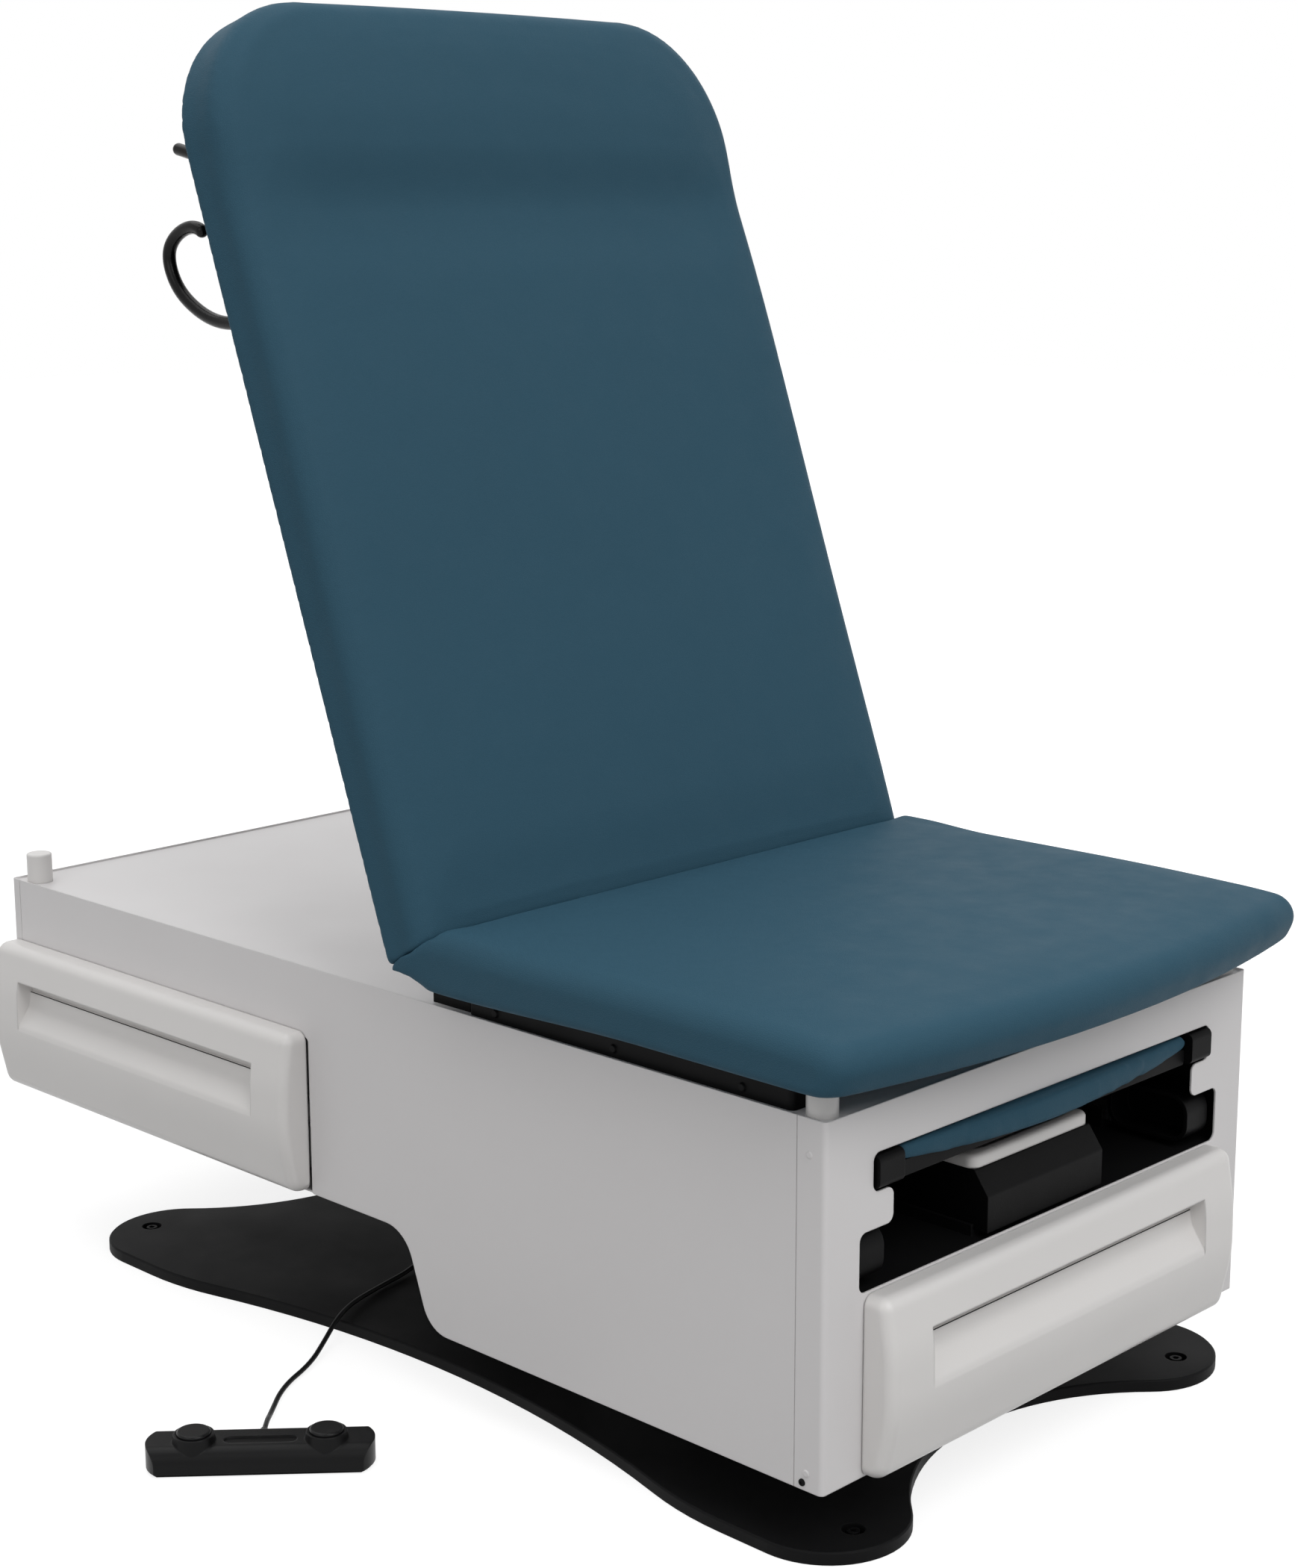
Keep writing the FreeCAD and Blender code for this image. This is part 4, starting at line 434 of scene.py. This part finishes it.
def back_room(co):
    # the cover is held in along the band under the head's swell
    s, _ = back_axes(co)
    band = eased(s, 0.640, 0.700) * (1.0 - eased(s, 0.725, 0.790))
    return 0.0004 + 0.0030 * eased(s, 0.03, 0.10) * (1.0 - 0.9 * band)


ARC_X, ARC_S, ARC_R = 0.2125, 0.786, 0.143      # centre and radius of the head's rounded corners


def back_hem(co):
    # the lower corners reach down along the seat's falling corners, the head swells above its band,
    # and the cover's rear edge wraps past the board and fills the head's rounded corners
    co = crease(co)
    x = co[:, 0]
    s, h = back_axes(co)
    fall = corner_fall(co, h) * (1.0 - eased(s, 0.014, 0.070))
    head = eased(s, 0.712, 0.782) * (1.0 - eased(s, 0.795, 0.895)) * eased(h, 0.012, 0.036)
    head *= 1.0 - 0.7 * eased(np.abs(x), 0.225, 0.345)
    over, above = np.maximum(np.abs(x) - ARC_X, 0.0), np.maximum(s - ARC_S, 0.0)
    reach = np.maximum(np.hypot(over, above), 1e-6)
    edge = 1.0 - eased(ARC_R - reach, 0.004, 0.012)
    rear = eased(-h, -0.006, 0.011) * edge * (over / reach) ** 0.5
    bend = 2.0 * over * above / reach ** 2 * edge
    up = 0.0035 * eased(s, 0.82, 0.92) + 0.004 * bend * above / reach - fall
    front = 0.0125 * head - 0.0048 * rear
    co = co + up[:, None] * UP + front[:, None] * OUT
    co[:, 0] += (0.0012 * edge + 0.0036 * rear + 0.004 * bend) * np.sign(x) * over / reach
    return co


def leg_room(co):
    return np.full(len(co), 0.0012)


def leg_hem(co):
    # the front edge bulges down before the frame's lip, most in the middle
    front = 1.0 - eased(co[:, 1], -0.5396, -0.5371)
    low = 1.0 - eased(co[:, 2], 0.3470, 0.3600)
    middle = np.clip(1.0 - (co[:, 0] / 0.215) ** 2, 0.0, 1.0)
    co = co.copy()
    co[:, 2] -= 0.0105 * front * low * middle
    return co


UPRIGHT = (0.0, 0.0, 1.0)
SEAT_BOARD, LEG_BOARD = 0.439, 0.3463
BACK_BOARD = on_back(0.0, 0.0, -0.014).dot(OUT_BACK)
cushion("seat_pad", "seat_cushion", "chassis", 0.005, 0.004, SEAT_BOARD, UPRIGHT, seat_room, seat_hem)
cushion("back_pad", "back_cushion", "backrest", 0.005, 0.004, BACK_BOARD, tuple(OUT_BACK), back_room, back_hem)
cushion("leg_rest_pad", "leg_rest_cushion", "leg_rest", 0.004, 0.002, LEG_BOARD, UPRIGHT, leg_room, leg_hem)


# Cords and dark strips: round runs along a line of points
def tube(name, slot, body, places, radius, sides, smooth_steps=None):
    line = bpy.data.curves.new(name, "CURVE")
    line.dimensions = "3D"
    line.bevel_depth = radius
    line.bevel_resolution = sides
    line.use_fill_caps = True
    run = line.splines.new("NURBS" if smooth_steps else "POLY")
    run.points.add(len(places) - 1)
    for point, place in zip(run.points, places):
        point.co = (*place, 1.0)
    if smooth_steps:
        line.resolution_u = smooth_steps
        run.order_u = 3
        run.use_endpoint_u = True
    line.materials.append(slots[slot])
    ob = bpy.data.objects.new(name, line)
    scene.collection.objects.link(ob)
    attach(ob, body)
    return ob


# Cord of the foot control, along the solid's own route
ROUTE = (
    (-0.4948, 0.0011, 0.0160), (-0.4771, 0.0202, 0.0135), (-0.4526, 0.0465, 0.0034),
    (-0.4050, 0.0880, 0.0029), (-0.3510, 0.1110, 0.0032), (-0.3120, 0.1360, 0.0085),
    (-0.2820, 0.1530, 0.0177), (-0.2440, 0.1750, 0.0173), (-0.1900, 0.1920, 0.0149),
    (-0.1380, 0.2020, 0.0154), (-0.0980, 0.2190, 0.0210), (-0.0660, 0.2315, 0.0290),
    (-0.0340, 0.2350, 0.0320))
cord = tube("foot_cord", "cord_jacket", "base", ROUTE, 0.0025, 4, smooth_steps=10)
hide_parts("foot_control_cord")


# Small fasteners: domed heads with a round socket
def lathe(form, place, axis, profile, count):
    axis = Vector(axis).normalized()
    side = axis.orthogonal().normalized()
    other = axis.cross(side)
    rings = []
    for radius, height in profile:
        ring = []
        for i in range(count):
            angle = 2 * math.pi * i / count
            ring.append(form.verts.new(Vector(place) + axis * height
                                       + (side * math.cos(angle) + other * math.sin(angle)) * radius))
        rings.append(ring)
    for low, high in zip(rings, rings[1:]):
        for i in range(count):
            j = (i + 1) % count
            form.faces.new((low[i], low[j], high[j], high[i]))
    form.faces.new(rings[0][::-1])
    form.faces.new(rings[-1])


def screws(name, body, slot, r, places):
    profile = ((r, -0.0002), (r, 0.18 * r), (0.93 * r, 0.36 * r), (0.78 * r, 0.50 * r),
               (0.56 * r, 0.58 * r), (0.50 * r, 0.58 * r), (0.46 * r, 0.52 * r), (0.44 * r, 0.22 * r))
    form = bmesh.new()
    for place, axis in places:
        lathe(form, place, axis, profile, 18)
    mesh = bpy.data.meshes.new(name)
    form.to_mesh(mesh)
    form.free()
    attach(new_object(name, mesh, slot), body)


BOARD, PLATE, RAIL = -0.0183, -0.0233, -0.0383      # rear faces of the board, hook plates and rails, as h
REARWARD = -OUT_BACK
PAIR = (-1, 1)
BOARD_PLACES = ((0.322, 0.10), (0.322, 0.27), (0.322, 0.44), (0.322, 0.72), (0.262, 0.850), (0.130, 0.897))
screws("board_screws", "backrest", "zinc_steel", 0.0042,
       [(on_back(side * x, s, BOARD), REARWARD) for side in PAIR for x, s in BOARD_PLACES])
screws("hook_screws", "backrest", "black_paint", 0.0040,
       [(on_back(side * 0.308, s, PLATE), REARWARD)
        for side in PAIR for s in (0.613, 0.643, 0.780, 0.804)])
screws("rail_bolts", "backrest", "zinc_steel", 0.0052,
       [(on_back(side * 0.277, s, RAIL), REARWARD) for side in PAIR for s in (0.14, 0.30, 0.46, 0.61)])
screws("rear_screws", "chassis", "zinc_steel", 0.0042,
       [((side * x, 0.667, z), (0.0, 1.0, 0.0))
        for side in PAIR for x in (0.295, 0.10) for z in (0.186, 0.390)])
screws("strip_screws", "chassis", "black_paint", 0.0034,
       [((side * 0.3185, -0.5177, 0.0793), (side, 0.0, 0.0)) for side in PAIR])

# Thin dark beads along the step of each drawer front's finger scoop: painted shade, dark strips standing in
# for the shadow line under the step
SHADOW_STRIP_R = 0.0005
# painted shade: these dark beads stand in for the step's shadow line
tube("front_scoop_shadow_strip", "rubber", "front_drawer",
     ((-0.2095, -0.5562, 0.1901), (0.2095, -0.5562, 0.1901)), SHADOW_STRIP_R, 2)
for hand, side in (("left", -1), ("right", 1)):
    tube(f"{hand}_scoop_shadow_strip", "rubber", f"side_drawer_{hand}",
         ((side * 0.3347, 0.1955, 0.2876), (side * 0.3347, 0.6145, 0.2876)), SHADOW_STRIP_R, 2)


# Light and floor
def lamp(name, place, target, size, power):
    data = bpy.data.lights.new(name, "AREA")
    data.shape = "SQUARE"
    data.size = size
    data.energy = power
    ob = bpy.data.objects.new(name, data)
    scene.collection.objects.link(ob)
    ob.location = place
    ob.rotation_euler = (Vector(target) - Vector(place)).to_track_quat("-Z", "Y").to_euler()


lamp("key", (-0.6, -3.5, 3.8), (0.0, -0.2, 0.5), 3.0, 92.0)
lamp("side", (-4.2, -0.6, 2.8), (0.0, 0.0, 0.5), 2.6, 27.0)
lamp("top", (-0.2, 1.3, 3.9), (0.0, 0.3, 0.4), 3.2, 38.0)


def seen_rays(tree):
    # 1 for a ray that shows the surroundings: from the camera, a glossy surface or through glass
    path = tree.nodes.new("ShaderNodeLightPath")
    value = path.outputs["Is Camera Ray"]
    for kind in ("Is Glossy Ray", "Is Transmission Ray"):
        either = tree.nodes.new("ShaderNodeMath")
        either.operation = "MAXIMUM"
        tree.links.new(value, either.inputs[0])
        tree.links.new(path.outputs[kind], either.inputs[1])
        value = either.outputs[0]
    return value


world = bpy.data.worlds.new("world")
scene.world = world
world.use_nodes = True
tree = world.node_tree
tree.nodes.clear()
seen = seen_rays(tree)
ambient = tree.nodes.new("ShaderNodeBackground")
ambient.inputs["Color"].default_value = (1.0, 1.0, 1.0, 1.0)
way = tree.nodes.new("ShaderNodeSeparateXYZ")
tree.links.new(tree.nodes.new("ShaderNodeTexCoord").outputs["Generated"], way.inputs[0])
sky = ramp(tree, way.outputs["Z"], 0.0, 1.0, 0.24, 0.60)
tree.links.new(sky, ambient.inputs["Strength"])
shown = tree.nodes.new("ShaderNodeBackground")
shown.inputs["Color"].default_value = (1.0, 1.0, 1.0, 1.0)
shown.inputs["Strength"].default_value = 1.0
choose = tree.nodes.new("ShaderNodeMixShader")
tree.links.new(seen, choose.inputs[0])
tree.links.new(ambient.outputs[0], choose.inputs[1])
tree.links.new(shown.outputs[0], choose.inputs[2])
tree.links.new(choose.outputs[0], tree.nodes.new("ShaderNodeOutputWorld").inputs[0])

FLOOR_HALF, FLOOR_Z = 14.0, -0.0006
floor_mesh = bpy.data.meshes.new("floor")
corners = [(x * FLOOR_HALF, y * FLOOR_HALF, FLOOR_Z) for x, y in ((-1, -1), (1, -1), (1, 1), (-1, 1))]
floor_mesh.from_pydata(corners, [], [(0, 1, 2, 3)])
floor = bpy.data.objects.new("floor", floor_mesh)
scene.collection.objects.link(floor)
paint = bpy.data.materials.new("floor")
paint.use_nodes = True
tree = paint.node_tree
tree.nodes.clear()
level = tree.nodes.new("ShaderNodeMath")
level.operation = "MULTIPLY"
far = tree.nodes.new("ShaderNodeVectorMath")
far.operation = "LENGTH"
tree.links.new(tree.nodes.new("ShaderNodeTexCoord").outputs["Object"], far.inputs[0])
tree.links.new(seen_rays(tree), level.inputs[0])
tree.links.new(ramp(tree, far.outputs["Value"], 0.7, 2.6, 0.80, 1.0), level.inputs[1])
glow = tree.nodes.new("ShaderNodeEmission")
tree.links.new(level.outputs[0], glow.inputs["Strength"])
plain = tree.nodes.new("ShaderNodeBsdfDiffuse")
plain.inputs["Color"].default_value = (0.38, 0.38, 0.38, 1.0)
both = tree.nodes.new("ShaderNodeAddShader")
tree.links.new(glow.outputs[0], both.inputs[0])
tree.links.new(plain.outputs[0], both.inputs[1])
tree.links.new(both.outputs[0], tree.nodes.new("ShaderNodeOutputMaterial").inputs[0])
floor_mesh.materials.append(paint)
